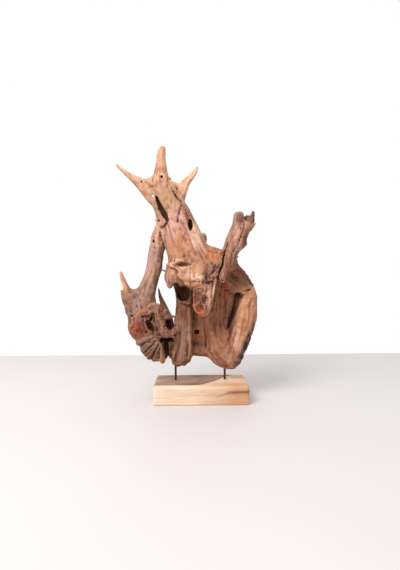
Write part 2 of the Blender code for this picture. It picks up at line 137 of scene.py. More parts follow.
# The thin column on the left, its finger and the knotted mass it runs into
LEFT_COLUMN = [
    Bar("column", 5, [
        (-100, 486, 6, 13, 15), (-112, 450, 9, 18, 18), (-116, 411, 11, 20.5, 20),
        (-125, 362, 13, 21, 20), (-135, 328, 12, 20.5, 21), (-145, 298, 9, 25, 24),
        (-155, 268, 5, 33, 28)]),
    Bar("finger", 8, [
        (-214.7, 345.5, -6, 4.8, 4.5), (-213.2, 334, -6, 6.5, 6), (-209, 321, -5, 8, 8),
        (-203, 306, -4, 10, 11), (-193, 282, -2, 18, 18)]),
    Bar("spur", 4, [
        (-214.5, 296.5, -4, 3.4, 4), (-209, 281, -4, 6, 7), (-202, 262, -3, 8, 10),
        (-194, 244, -2, 10, 14)]),
    Bar("mass", 12, [
        (-166, 280, 2, 33, 22), (-160, 252, 0, 40, 30), (-156, 222, -3, 44, 36),
        (-151, 196, -4, 46, 38), (-139, 168, -4, 34, 36), (-131, 140, -2, 28, 30)]),
    Bar("rib plate", 8, [
        (-118, 152, -22, 18, 20), (-135, 138, -19, 28, 20), (-128, 123, -14, 19, 19)]),
    Bar("rib under the burl", 6, [
        (-128, 172, -26, 8, 15), (-148, 165, -24, 12, 17), (-163, 159, -16, 13, 18)]),
    Bar("outer rib", 6, [
        (-124, 164, -28, 9, 15), (-140, 150, -24, 13, 17), (-151, 141, -14, 14, 18)]),
    Bar("middle rib", 6, [
        (-119, 158, -28, 8, 15), (-130, 138, -24, 12, 17), (-139, 124, -12, 13, 18)]),
    Bar("lower rib", 5, [
        (-114, 152, -28, 7, 15), (-120, 132, -24, 10, 17), (-124, 117, -12, 11, 18)]),
    Bar("inner rib", 5, [
        (-109, 146, -30, 6, 14), (-108, 128, -27, 9, 17), (-106, 108, -18, 9, 18)]),
    Bar("knob", 3, [
        (-163, 238, -30, 9, 10), (-149, 243, -36, 12, 11), (-134, 248, -40, 14, 11),
        (-120, 249, -42, 14, 11), (-111, 243, -38, 12, 11)]),
    Bar("twisted root", 4, [
        (-119, 240, -42, 11, 12), (-116, 226, -46, 12.5, 12), (-112, 211, -49, 14, 12),
        (-105, 195, -50, 15, 13), (-98, 184, -48, 15, 12)]),
    Bar("knuckle", 4, [
        (-112, 182, -46, 7, 9), (-96, 178, -48, 9, 10), (-80, 181, -38, 8, 9),
        (-70, 186, -26, 7, 9)]),
    Bar("burl", 8, [(-184, 199, -28, 13, 12), (-172, 190, -34, 18, 12), (-160, 186, -32, 14, 12)]),
    Bar("spike", 5, [
        (-114, 302, 26, 2.4, 2.4), (-110, 284, 26, 4.8, 5), (-103, 262, 25, 8, 8),
        (-96, 242, 22, 9.5, 10), (-88, 222, 16, 12, 12)]),
    Bar("bridge", 8, [
        (-104, 232, 12, 18, 16), (-93, 194, 12, 25, 18), (-92, 152, 12, 24, 18),
        (-92, 122, 12, 20, 14)]),
]

# The fluted pillar under the front, which the left rod enters
PILLAR = [
    Bar("pillar", 8, [
        (-48, 312, 4, 23, 26), (-44, 268, 2, 22, 27), (-47, 200, 2, 25, 28), (-52, 142, 3, 30, 28),
        (-55, 114, 4, 29, 26), (-61, 107, 4, 20, 19)]),
    Bar("left flute", 9, [
        (-58, 246, -8, 8, 16), (-65, 205, -9, 8, 18), (-62, 160, -10, 11, 18),
        (-73, 114, -8, 10, 19)]),
    Bar("middle flute", 9, [
        (-42, 250, -10, 8, 16), (-48, 206, -10, 9, 17), (-45, 158, -11, 9, 18),
        (-56, 104, -9, 12, 19)]),
    Bar("right flute", 8, [
        (-30, 246, -9, 7, 16), (-33, 190, -8, 7, 17), (-29, 148, -10, 7, 18),
        (-34, 114, -9, 9, 19)]),
]

# The broken stub, the sweeping shoulder, the recessed wall and the outer limb
RIGHT_SIDE = [
    Bar("stub", 8, [
        (70, 368, -8, 22, 26), (80, 400, -8, 22, 25), (91, 424, -8, 26, 24),
        (102, 446, -8, 27.5, 23), (112, 470, -7, 27.5, 20), (115, 478, -6, 26, 14)]),
    Bar("stub bump", 5, [(106, 420, -4, 13, 14), (117, 427, -4, 13, 12)]),
    Bar("stub left rim", 4, [(102, 486, -10, 13, 13), (106, 500, -9, 13.5, 12)]),
    Bar("stub front rim", 4, [(120, 470, -20, 14, 6), (134, 476, -18, 10, 5)]),
    Bar("stub right tip", 4, [(132, 466, -12, 12, 10), (148, 478, -14, 3, 4)]),
    Bar("stub back wall", 3, [
        (114, 488, 11, 14, 6), (130, 486, 12, 15, 6), (140, 486, 12, 13, 6)]),
    Bar("stub back spike", 4, [(138, 480, 10, 8, 6), (144, 508, 10, 4.5, 4)]),
    Bar("hanging finger", 4, [
        (66, 362, -34, 9, 10), (60, 338, -42, 9.5, 10), (60, 323, -42, 7.5, 8)]),
    Bar("shoulder", 12, [
        (62, 372, 6, 24, 28), (89, 347, 9, 26, 26), (111, 322, 8, 25, 24), (126, 305, 3, 20, 20)]),
    Bar("shoulder sweep", 12, [
        (60, 344, 6, 22, 24), (80, 321, 7, 24, 22), (102, 303, 6, 20, 20), (122, 300, 2, 15, 17)]),
    Bar("wall", 10, [
        (54, 340, 20, 50, 22), (44, 300, 22, 62, 20), (36, 250, 23, 68, 18), (36, 200, 23, 68, 18),
        (40, 160, 22, 68, 19), (42, 136, 20, 60, 17)]),
    Bar("wall foot", 8, [(-40, 133, 12, 14, 14), (-4, 133, 14, 15, 15), (26, 128, 14, 15, 15)]),
    Bar("swell of the wall", 12, [
        (30, 226, 14, 14, 14), (38, 180, 12, 20, 14), (46, 136, 10, 22, 14)]),
    Bar("web of the foot", 14, [
        (72, 176, 12, 10, 14), (74, 148, 6, 16, 17), (76, 122, 4, 20, 18), (76, 108, 5, 20, 16)]),
    Bar("outer limb", 6, [
        (142, 298, -4, 8, 11), (137, 279, -8, 18, 19), (129, 252, -10, 27, 25),
        (123, 222, -10, 32, 27), (114, 188, -8, 30, 28), (105, 158, -5, 28, 27),
        (96, 128, -1, 24, 25), (90, 105, 3, 22, 22), (86, 94, 5, 15, 16)]),
    Bar("bark edge", 5, [
        (139, 206, 6, 8, 14), (131, 174, 8, 8.5, 14), (118, 142, 8, 9.5, 14),
        (109, 118, 8, 9, 14)]),
    Bar("foot", 8, [(38, 134, 14, 26, 14), (54, 112, 10, 24, 17), (72, 103, 8, 22, 18)]),
]

# Ribs and a broken root on the side that faces away
BACK = [
    Bar("long rib", 10, [
        (-40, 440, 26, 16, 12), (-14, 370, 38, 20, 14), (4, 300, 42, 18, 14),
        (24, 220, 40, 15, 12), (34, 150, 36, 12, 10)]),
    Bar("side rib", 10, [
        (60, 366, 32, 18, 12), (92, 320, 36, 16, 14), (110, 260, 26, 15, 16),
        (108, 190, 22, 14, 15), (98, 130, 20, 13, 13)]),
    Bar("pillar rib", 10, [
        (-30, 330, 36, 16, 13), (-44, 270, 34, 13, 13), (-46, 200, 32, 13, 12),
        (-52, 130, 30, 12, 10)]),
    Bar("mass rib", 10, [
        (-140, 300, 26, 14, 12), (-150, 250, 28, 16, 15), (-140, 200, 30, 16, 15),
        (-124, 150, 24, 12, 12)]),
    Bar("broken root", 8, [(20, 330, 40, 20, 20), (14, 314, 64, 14, 14), (10, 304, 76, 10, 10)]),
]

# Twig stumps, thin rims and folds, too small for the solid
SMALL_LIMBS = [
    Bar("twig by the right notch", 2, [(-85, 602, 4, 3.4, 3.4), (-77, 600, 4, 1.7, 1.7)]),
    Bar("twig on the neck", 2, [(-114, 487, 3, 4, 4), (-123, 484, 3, 1.8, 2)]),
    Bar("twig between column and lobe", 2, [
        (-116, 356, 10, 4.5, 5), (-107, 353, 6, 3.4, 4), (-99, 350, -2, 3.2, 3.6),
        (-89, 351, -14, 4, 4)]),
    Bar("dark twig under the stub", 2, [(97, 388, 2, 4.5, 4), (103, 388, 2, 3.4, 3)]),
    Bar("cavity rim", 1.5, [
        (-61, 270, -21, 1.8, 3), (-49, 262, -26, 2.4, 3), (-36, 260, -28, 2.2, 3),
        (-25, 263, -28, 1.8, 3)]),
    Bar("rim of the first facet", 1.5, [
        (-22, 268, -68, 1.8, 3), (-16, 282, -74, 2, 3), (-4, 283, -78, 2, 3),
        (4, 276, -78, 1.8, 3)]),
    Bar("nub on the rough place", 2, [(40, 361, -49, 4, 4), (43, 364, -51, 2.6, 2.6)]),
    Bar("upper nub", 2, [(58, 386, -34, 4.4, 4), (61, 389, -36, 2.6, 2.6)]),
    Bar("rim of the knob", 3, [
        (-163, 229, -32, 4, 6), (-149, 232, -42, 4, 6), (-138, 238, -48, 4, 5)]),
    Bar("left brow of the knot", 4, [
        (-151, 224, -32, 5, 7), (-151, 205, -36, 5, 8), (-146, 186, -36, 5, 7)]),
    Bar("fold on the knuckle", 2.5, [
        (-108, 196, -60, 3, 4), (-98, 186, -59, 3.4, 4), (-86, 184, -50, 3, 4),
        (-74, 190, -36, 3, 4)]),
    Bar("fold on the twisted root", 2.5, [
        (-124, 236, -52, 3, 4), (-122, 218, -57, 3.4, 4), (-117, 203, -60, 3, 4)]),
    Bar("lump on the knob", 4, [(-139, 252, -47, 6, 6), (-127, 256, -47, 6, 6)]),
    Bar("nose lip", 2, [
        (-9, 235, -68, 2.4, 3), (-2, 228, -64, 2.8, 4), (6, 226, -60, 3, 4),
        (14, 231, -54, 2.6, 4)]),
    Bar("rim of the mouth", 3, [
        (-113, 170, -44, 3, 6), (-98, 171, -48, 3.4, 6), (-84, 172, -42, 3, 6),
        (-72, 170, -32, 3, 5)]),
    Bar("rim of the right hollow", 4, [
        (-99, 222, -36, 4, 6), (-88, 225, -28, 4, 6), (-76, 226, -16, 4, 7)]),
    Bar("foot toe", 3, [(96, 92, -6, 7, 8), (104, 97, -2, 6, 7), (108, 108, 2, 5, 6)]),
    Bar("ear of the pillar", 3, [
        (-78, 176, -20, 5, 8), (-72, 163, -22, 4, 6), (-74, 150, -20, 3, 5)]),
]

# Cuts that leave fresh, light wood
OPEN_CUTS = [
    Bar("flat of the nose", 2, [(-8, 262, -134, 60, 60), (-2, 246, -134, 60, 60)]),
    Bar("first facet of the nose", 1, [(-14, 271, -120, 15, 15), (-14, 271, -82, 15, 15)]),
    Bar("second facet of the nose", 1, [(0, 248, -124, 16, 19), (0, 248, -83, 16, 19)]),
    Bar("left purple facet", 1, [(-18, 294, -110, 11, 11), (-18, 294, -73, 11, 11)]),
    Bar("right purple facet", 1, [(2, 294, -110, 12, 11), (2, 294, -74, 12, 11)]),
    Bar("side facet of the nose", 1, [(15, 272, -110, 9, 14), (15, 272, -68, 9, 14)]),
    Bar("burl chip", 1, [(-187, 182, -62, 18, 18), (-180, 180, -60, 18, 18)]),
    Bar("upper burl chip", 1, [(-172, 203, -60, 16, 13), (-162, 200, -58, 16, 13)]),
    Bar("right burl chip", 1, [(-160, 182, -62, 16, 18), (-157, 176, -60, 16, 18)]),
]

# Slits, holes and crevices, taken away in this order
HOLLOWS = [
    Bar("slit", 2, [
        (-119, 550, -12, 2.6, 14), (-113, 533, -14, 5, 18), (-104, 516, -16, 6.5, 22),
        (-96, 501, -18, 7, 24), (-89, 488, -20, 3.4, 20)]),
    Bar("pinhole", 1, [(-127, 553, -40, 3.8, 3.8), (-127, 553, 40, 3.8, 3.8)]),
    Bar("oval hole", 2, [
        (-27, 486, -28, 5, 20), (-26, 473, -30, 7.5, 26), (-26, 460, -30, 3, 18)]),
    Bar("upper window", 2, [(-93.5, 388, -70, 4.6, 12), (-93.5, 388, 70, 4.6, 12)]),
    Bar("upper window foot", 2, [(-97.5, 370, -70, 4, 13), (-97.5, 370, 70, 4, 13)]),
    Bar("eye slit", 3.5, [
        (-67, 368, -58, 3.2, 7), (-55, 365, -60, 6.5, 10), (-42, 366, -61, 6, 9),
        (-27, 367, -63, 2.6, 5)]),
    Bar("cavity", 3, [(-47, 287, -90, 20, 20), (-46, 287, -14, 19, 20), (-45, 285, 4, 16, 17)]),
    Bar("cavity notch", 2, [
        (-72, 310, -80, 8.5, 8.5), (-66, 304, -20, 9, 11), (-56, 296, 0, 9, 10)]),
    Bar("cavity side", 2, [(-64, 289, -80, 12, 13), (-64, 289, -7, 11, 12)]),
    Bar("cavity corner", 2, [(-37, 275, -80, 10, 10), (-40, 278, -10, 11, 11)]),
    Bar("crevice", 4, [
        (103, 281, 2, 9.5, 26), (97, 259, 2, 7, 26), (89, 233, 4, 6.5, 24), (82, 213, 6, 5.5, 18),
        (77, 196, 8, 3.5, 12)]),
    Bar("crescent hole", 2, [(-11, 182, -20, 8, 6.5), (-11, 182, 18, 7, 6)]),
    Bar("long crack", 2, [
        (76, 442, -32, 2, 10), (73, 421, -32, 2.2, 12), (67, 404, -34, 2.4, 13),
        (62.6, 382, -38, 2.6, 16), (60.5, 366, -42, 3.0, 18), (55, 349, -46, 3.0, 18),
        (50, 334, -48, 2.2, 14)]),
    Bar("stub mouth", 2, [(135, 514, -6, 13, 9), (132, 488, -6, 9, 8), (127, 468, -6, 4, 4)]),
    Bar("stub gap", 1.5, [(124, 514, -4, 4, 15), (124, 498, -4, 5.5, 16), (125, 484, -5, 4, 10)]),
    Bar("knot hole", 2, [(-134, 224, -62, 6, 6.5), (-133, 223, -20, 5, 6)]),
    Bar("left hollow", 2.5, [
        (-143, 211, -38, 6, 20), (-138, 201, -36, 9.5, 24), (-131, 189, -38, 5, 18)]),
    Bar("right hollow", 2.5, [(-83, 206, -60, 12, 14), (-83, 205, 6, 11, 12)]),
    Bar("mouth", 2.5, [(-109, 160, -16, 5, 34), (-96, 161, -14, 7.5, 34), (-80, 161, -12, 6, 30)]),
    Bar("mouth crevice", 2.5, [
        (-97, 150, -14, 6, 32), (-95, 130, -14, 6, 32), (-93, 110, -16, 5, 30),
        (-91, 96, -16, 4.5, 28)]),
    Bar("back hollow", 6, [(-62, 388, 62, 16, 22), (-48, 350, 66, 12, 22)]),
    Bar("back groove", 6, [(60, 300, 60, 14, 24), (64, 230, 58, 13, 24), (60, 180, 56, 10, 22)]),
]

# Pits, worm holes and cracks, too small for the solid
SMALL_HOLLOWS = [
    Bar("hole in the palm", 1, [(-104, 605, -18, 3.4, 4), (-104, 605, -2, 2.4, 3)]),
    Bar("pit on the left prong", 1, [(-158, 590, -18, 2.2, 2.2), (-158, 590, -6, 1.6, 1.6)]),
    Bar("pit under the twig", 1, [(-113, 484, -18, 1.8, 1.8), (-113, 484, -5, 1.4, 1.4)]),
    Bar("crack above the oval hole", 1, [
        (-27, 489, -32, 2, 8), (-33, 500, -28, 1.7, 7), (-40, 514, -20, 1.2, 5)]),
    Bar("trunk furrow", 4, [
        (-50, 526, -20, 1.6, 3), (-56, 509, -27, 2.4, 4), (-62, 484, -33, 1.6, 3)]),
    Bar("joint of the right prong", 2.5, [
        (-80, 584, -14, 1.6, 6), (-72, 563, -15, 2.2, 8), (-63, 549, -17, 2.2, 8),
        (-50, 537, -16, 1.6, 6)]),
    Bar("crease under the neck", 2, [
        (-121, 479, -10, 1.8, 5), (-107, 467, -16, 2.4, 6), (-95, 473, -22, 2.2, 6),
        (-88, 486, -26, 1.8, 5)]),
    Bar("hole in the column", 1, [(-129, 431, -16, 2.6, 4), (-128, 430, 0, 2, 3)]),
    Bar("stub furrow", 2, [
        (106, 512, -22, 2, 6), (109, 497, -25, 2.4, 6), (110.5, 482, -29, 2.4, 6),
        (110, 464, -31, 2, 5)]),
    Bar("second stub furrow", 2.5, [
        (115.5, 490, -24, 1.8, 4), (117, 467, -28, 2.4, 5), (112, 451, -30, 2.4, 5),
        (104, 422, -31, 2.4, 5), (93, 404, -32, 1.8, 4)]),
    Bar("stub pocket", 2.5, [(96, 484, -28, 2, 4), (99, 473, -31, 4, 5), (106, 476, -31, 2.4, 4)]),
    Bar("pit of the hanging finger", 1, [(60, 322, -56, 1.8, 1.8), (60, 322, -44, 1.4, 1.4)]),
    Bar("gap under the rough place", 1.5, [
        (6, 317, -66, 2.2, 8), (20, 317, -64, 2.6, 9), (34, 324, -56, 2.4, 8)]),
    Bar("crack over the rough place", 1.5, [
        (12, 328, -64, 1.8, 5), (24, 338, -60, 2.2, 6), (39, 352, -54, 1.8, 5)]),
    Bar("gap beside the fin", 1.5, [
        (34, 270, -60, 2, 7), (31, 256, -56, 2.2, 9), (28, 242, -50, 1.8, 7)]),
    Bar("gap beside the nose", 1.5, [
        (-24, 300, -56, 2, 9), (-25, 280, -60, 2.4, 9), (-22, 262, -62, 2, 7)]),
    Bar("pit in the mass", 1, [(-147, 184, -58, 2.6, 3), (-147, 184, -38, 2, 2)]),
    Bar("pit by the edge", 1, [(-188, 228, -40, 2, 2), (-188, 228, -20, 1.6, 1.6)]),
    Bar("crack between ribs", 1.5, [
        (-111, 142, -46, 1.8, 6), (-115, 124, -44, 2.2, 8), (-117, 106, -32, 2.2, 9)]),
    Bar("second crack between ribs", 1.5, [
        (-116, 150, -46, 1.8, 6), (-127, 130, -43, 2.0, 6), (-138, 108, -32, 2.0, 5)]),
    Bar("third crack between ribs", 1.5, [
        (-121, 160, -46, 1.8, 5), (-138, 142, -43, 2.0, 5), (-157, 123, -32, 1.8, 4)]),
    Bar("fourth crack between ribs", 1.5, [
        (-127, 169, -44, 1.8, 5), (-147, 157, -43, 1.8, 4), (-172, 145, -32, 1.8, 3)]),
    Bar("seam over the limb", 3, [
        (110, 287, -17, 1.8, 6), (125, 293, -18, 2.2, 6), (136, 300, -14, 1.6, 3)]),
]


# Limbs whose grain the surface follows
GRAIN_LIMBS = {"middle prong", "left prong", "right prong", "trunk", "column", "finger", "mass",
               "rib under the burl", "outer rib", "middle rib", "lower rib", "inner rib", "knob",
               "twisted root", "spike", "bridge", "pillar", "stub", "shoulder", "shoulder sweep",
               "wall", "outer limb", "foot", "long rib", "side rib", "broken root", "curled lobe",
               "nose", "panel"}


def to_root(station):
    """Places a drawn station in space along its line of sight, in drawn units."""
    x, z, y, width, depth = station
    away = (y + EYE_DISTANCE) / EYE_DISTANCE
    place = EYE + (np.array([x, 0.0, z]) - EYE) * away
    return np.array([*place, width * away, depth])


def to_world(points):
    """Drawn units to metres, with the root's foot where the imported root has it."""
    foot = np.array([0.0, 0.0, DRAWN_FOOT])
    return (np.asarray(points) - foot) * UNIT + np.array([0.0, 0.0, ROOT_LOW.z])


def as_seen(points):
    """Where points (three rows) look to be from the front: x, z and the depth y."""
    share = EYE_DISTANCE / (points[1] + EYE_DISTANCE)
    return EYE[0] + (points[0] - EYE[0]) * share, EYE[2] + (points[2] - EYE[2]) * share, points[1]


def smooth_path(stations):
    """Stations along a Catmull-Rom curve through the given ones, evenly fine."""
    knots = [to_root(station) for station in stations]
    knots = [2 * knots[0] - knots[1]] + knots + [2 * knots[-1] - knots[-2]]
    path = []
    for before, start, end, after in zip(knots, knots[1:], knots[2:], knots[3:]):
        steps = max(1, math.ceil(np.linalg.norm(end[:3] - start[:3]) / STATION_STEP))
        for t in np.arange(steps) / steps:
            path.append(0.5 * (2 * start + (end - before) * t
                               + (2 * before - 5 * start + 4 * end - after) * t ** 2
                               + (3 * start - before - 3 * end + after) * t ** 3))
    return np.array(path + [knots[-2]])


def follow(points, path):
    """Distance of points from a bar's surface, and their place in it: across, deep, along."""
    axis = path[:, :3]
    runs = axis[1:] - axis[:-1]
    lengths = np.linalg.norm(runs, axis=1)
    reached = np.concatenate([[0.0], np.cumsum(lengths)])
    overall = (axis[-1] - axis[0]) / np.linalg.norm(axis[-1] - axis[0])
    upright = np.array([0.0, 0.0, 1.0]) if abs(overall[1]) > 0.8 else np.array([0.0, 1.0, 0.0])
    nearest = np.full(points.shape[1], np.inf, dtype=np.float32)
    index = np.zeros(points.shape[1], dtype=np.int32)
    share = np.zeros(points.shape[1], dtype=np.float32)
    for number, (start, run) in enumerate(zip(axis, runs)):
        offset = points - start[:, None].astype(np.float32)
        t = np.clip(run.astype(np.float32) @ offset / np.float32(run @ run), 0.0, 1.0)
        offset -= run[:, None].astype(np.float32) * t
        gap = np.einsum("ij,ij->j", offset, offset)
        closer = gap < nearest
        nearest[closer] = gap[closer]
        index[closer] = number
        share[closer] = t[closer]
    value = path[index] + (path[index + 1] - path[index]) * share[:, None]
    along = runs / lengths[:, None]
    deep = upright - along * (along @ upright)[:, None]
    deep /= np.linalg.norm(deep, axis=1)[:, None]
    side = np.cross(deep, along)
    offset = points.T - value[:, :3]
    width = np.maximum(value[:, 3], 0.5)
    depth = np.maximum(value[:, 4], 0.5)
    end = np.minimum(width, depth)
    parts = [np.einsum("ij,ij->i", offset, turn[index]) for turn in (side, deep, along)]
    near = np.sqrt(sum((part / size) ** 2 for part, size in zip(parts, (width, depth, end))))
    slope = np.sqrt(sum((part / size ** 2) ** 2 for part, size in zip(parts, (width, depth, end))))
    distance = np.where(near < 1e-4, -end, near * (near - 1.0) / np.maximum(slope, 1e-9))
    parts[2] = parts[2] + reached[index] + share * lengths[index]
    return distance.astype(np.float32), np.array(parts, dtype=np.float32)


def blend_lower(a, b, reach):
    """Lower of two distances, rounded where they are within reach of each other."""
    overlap = np.maximum(reach - np.abs(a - b), 0.0) / reach
    return np.minimum(a, b) - overlap ** 2 * reach / 4


class Form:
    """All limbs and hollows with their paths, and what they say about any point."""

    def __init__(self):
        self.limbs = self.drawn(CROWN + TRUNK + LEFT_COLUMN + PILLAR + RIGHT_SIDE + BACK
                                + SMALL_LIMBS)
        self.cuts = self.drawn(OPEN_CUTS)
        self.hollows = self.drawn(HOLLOWS + SMALL_HOLLOWS)
        self.small = self.drawn(SMALL_LIMBS + SMALL_HOLLOWS)

    @staticmethod
    def drawn(bars):
        return [(bar, smooth_path(bar.stations)) for bar in bars]

    def box(self):
        """Lowest and highest corner of the limbs."""
        corners = [path_box(path, 0.0) for _, path in self.limbs]
        return (np.min([low for low, _ in corners], axis=0),
                np.max([high for _, high in corners], axis=0))

    def survey(self, points, reach=0.0):
        """Field at points, depth under the old skin, and the grain of the two nearest limbs."""
        points = gnarled(points)
        count = points.shape[1]
        field = np.full(count, 1000.0, dtype=np.float32)
        gaps = np.full((2, count), 500.0, dtype=np.float32)
        grain = np.zeros((2, 3, count), dtype=np.float32)
        for number, (bar, path) in enumerate(self.limbs):
            near = within(points, path, bar.blend + reach)
            distance, place = follow(points[:, near], path)
            field[near] = blend_lower(field[near], distance, bar.blend)
            if bar.name not in GRAIN_LIMBS:
                continue
            place[2] += LIMB_SHIFT * number
            first = distance < gaps[0, near]
            second = ~first & (distance < gaps[1, near])
            moved = near[first]
            gaps[1, moved], grain[1][:, moved] = gaps[0, moved], grain[0][:, moved]
            gaps[0, moved], grain[0][:, moved] = distance[first], place[:, first]
            moved = near[second]
            gaps[1, moved], grain[1][:, moved] = distance[second], place[:, second]
        for bar, path in self.cuts:
            near = within(points, path, bar.blend)
            field[near] = -blend_lower(-field[near], follow(points[:, near], path)[0], bar.blend)
        under = -field.copy()
        for bar, path in self.hollows:
            near = within(points, path, bar.blend)
            field[near] = -blend_lower(-field[near], follow(points[:, near], path)[0], bar.blend)
        return field, under, gaps, grain


def path_box(path, reach):
    """Lowest and highest corner of a bar, grown by reach."""
    grow = path[:, 3:].max(axis=1)[:, None] + reach
    return (path[:, :3] - grow).min(axis=0), (path[:, :3] + grow).max(axis=0)


def within(points, path, reach):
    """Numbers of the points in a bar's box, grown by reach."""
    low, high = path_box(path, reach)
    inside = np.ones(points.shape[1], dtype=bool)
    for row, bottom, top in zip(points, low, high):
        inside &= (row > bottom) & (row < top)
    return np.flatnonzero(inside)


# Relief that follows the grain

LATTICE_SIZE = 32
LATTICE = np.random.default_rng(11).random((LATTICE_SIZE,) * 3, dtype=np.float32) * 2.0 - 1.0
WRAP = LATTICE_SIZE - 1
# How far one seed's noise, and one limb's, lies from the next
SEED_SHIFT = 7.31
LIMB_SHIFT = 977.0
# Where two limbs meet, their grain mixes over this width
GRAIN_MIX = 12.0


def noise(points, seed):
    """Smooth noise from -1 to 1 at points (three rows), one swell to a unit."""
    shifted = points + np.float32(seed * SEED_SHIFT)
    base = np.floor(shifted)
    part = (shifted - base).astype(np.float32)
    part = part * part * (3.0 - 2.0 * part)
    low = base.astype(np.int32) & WRAP
    high = (low + 1) & WRAP
    total = 0.0
    for corner in CORNERS:
        a, b, c = [(high if on else low)[axis] for axis, on in enumerate(corner)]
        share = [(part if on else 1.0 - part)[axis] for axis, on in enumerate(corner)]
        total = total + LATTICE[a, b, c] * share[0] * share[1] * share[2]
    return total


def grain_noise(gaps, grain, across, along, seed):
    """Noise drawn out along the grain, passing smoothly from one limb to the next."""
    lead = 0.5 + 0.5 * np.clip((gaps[1] - gaps[0]) / GRAIN_MIX, 0.0, 1.0)
    scale = np.array([[across], [across], [along]], dtype=np.float32)
    first = noise(grain[0] / scale, seed)
    second = noise(grain[1] / scale, seed)
    return (first * lead + second * (1.0 - lead)) / np.sqrt(lead ** 2 + (1.0 - lead) ** 2)


def grained(gaps, grain, swells):
    """Sum of grain noises, each given by its width and length, its seed and its amount."""
    return sum(amount * grain_noise(gaps, grain, across, along, seed)
               for across, along, seed, amount in swells)


def rise(value, low, high):
    """0 below low, 1 above high, and a smooth step between."""
    t = np.clip((value - low) / (high - low), 0.0, 1.0)
    return t * t * (3.0 - 2.0 * t)


def in_spot(seen, spot):
    """1 in the middle of a soft oval place, 0 well outside it."""
    x, z, y = seen
    away = ((x - spot.x) / spot.wide) ** 2 + ((z - spot.z) / spot.tall) ** 2
    away = away + ((y - spot.y) / spot.deep) ** 2
    return np.exp(-away ** 2)


def spread(seen, spots):
    """Highest share of any of the spots, each with its amount."""
    return np.max([amount * in_spot(seen, spot) for spot, amount in spots], axis=0)


# Where the wood is rough and broken, and how much
ROUGH = [
    (Spot(30, 343, -40, 28, 30, 60), 0.95),
    (Spot(105, 425, 0, 30, 40, 60), 0.25),
    (Spot(145, 196, -6, 11, 22, 36), 0.8),
    (Spot(136, 168, -6, 13, 20, 36), 0.95),
    (Spot(122, 142, -6, 13, 20, 36), 0.95),
    (Spot(113, 116, -6, 12, 20, 36), 0.95),
    (Spot(104, 98, 0, 22, 20, 40), 0.7),
    (Spot(-2, 292, -60, 24, 12, 40), 0.5),
    (Spot(24, 280, -50, 12, 44, 30), 0.3),
    (Spot(-116, 205, -40, 44, 40, 40), 0.6),
    (Spot(-128, 247, -44, 32, 15, 26), 0.6),
    (Spot(-108, 206, -52, 22, 34, 22), 0.85),
    (Spot(-132, 138, -20, 40, 30, 60), 0.25),
    (Spot(-122, 440, 6, 22, 44, 60), 0.6),
    (Spot(-130, 360, 6, 24, 50, 60), 0.35),
    (Spot(-180, 262, -6, 30, 40, 60), 0.3),
    (Spot(118, 345, 4, 30, 34, 60), 0.3),
    (Spot(126, 350, 6, 7, 15, 40), 0.75),
    (Spot(143, 320, 4, 6, 13, 40), 0.75),
    (Spot(106, 500, -10, 16, 18, 30), 0.3),
    (Spot(-172, 190, -40, 20, 20, 26), 0.3),
    (Spot(-55, 105, 0, 40, 20, 60), 0.4),
    (Spot(-60, 553, -8, 12, 22, 30), 0.3),
    (Spot(14, 310, 76, 26, 26, 30), 0.6),
]

# Where the wood is weathered smooth, and how much
CALM = [
    (Spot(-110, 600, 0, 110, 95, 60), 0.6),
    (Spot(-104, 672, 2, 20, 24, 30), 0.95),
    (Spot(-40, 470, 0, 60, 70, 90), 0.35),
    (Spot(-35, 335, -40, 56, 34, 40), 0.45),
    (Spot(122, 240, -20, 34, 66, 40), 0.5),
    (Spot(-172, 192, -36, 26, 26, 26), 0.6),
    (Spot(-48, 366, -60, 26, 9, 30), 0.8),
    (Spot(-4, 252, -70, 20, 26, 30), 0.6),
    (Spot(-48, 200, -20, 34, 90, 40), 0.35),
    (Spot(106, 460, -10, 36, 60, 40), 0.35),
    (Spot(60, 140, 0, 50, 36, 50), 0.3),
]

# Where the roots have grown twisted and knotted, and how much
GNARLED = [
    (Spot(-116, 210, -40, 50, 46, 60), 0.7),
    (Spot(30, 345, -40, 34, 36, 60), 0.6),
    (Spot(-4, 290, -60, 30, 20, 50), 0.3),
    (Spot(108, 460, -4, 46, 66, 60), 0.35),
    (Spot(-130, 140, -20, 50, 40, 60), 0.25),
    (Spot(-48, 160, -10, 34, 90, 60), 0.3),
    (Spot(132, 160, 6, 20, 60, 40), 0.5),
    (Spot(104, 330, 10, 44, 44, 60), 0.35),
    (Spot(-124, 400, 8, 40, 90, 60), 0.4),
    (Spot(-172, 252, 0, 50, 60, 60), 0.3),
]

# Length and amount of the bends of every limb, and of the sharper ones of gnarled wood
BEND_LENGTH, BEND = 38.0, 1.6
KINK_LENGTH, KINK = 15.0, 5.0


def gnarled(points):
    """Points moved a little, so that no limb is an even bar there."""
    amount = spread(as_seen(points), GNARLED)
    bends = np.array([noise(points / BEND_LENGTH, seed) for seed in (31, 32, 33)])
    moved = points + BEND * bends
    kinked = amount > 0.03
    kinks = np.array([noise(points[:, kinked] / KINK_LENGTH, seed) for seed in (34, 35, 36)])
    moved[:, kinked] += KINK * amount[kinked] * kinks
    return moved.astype(np.float32)


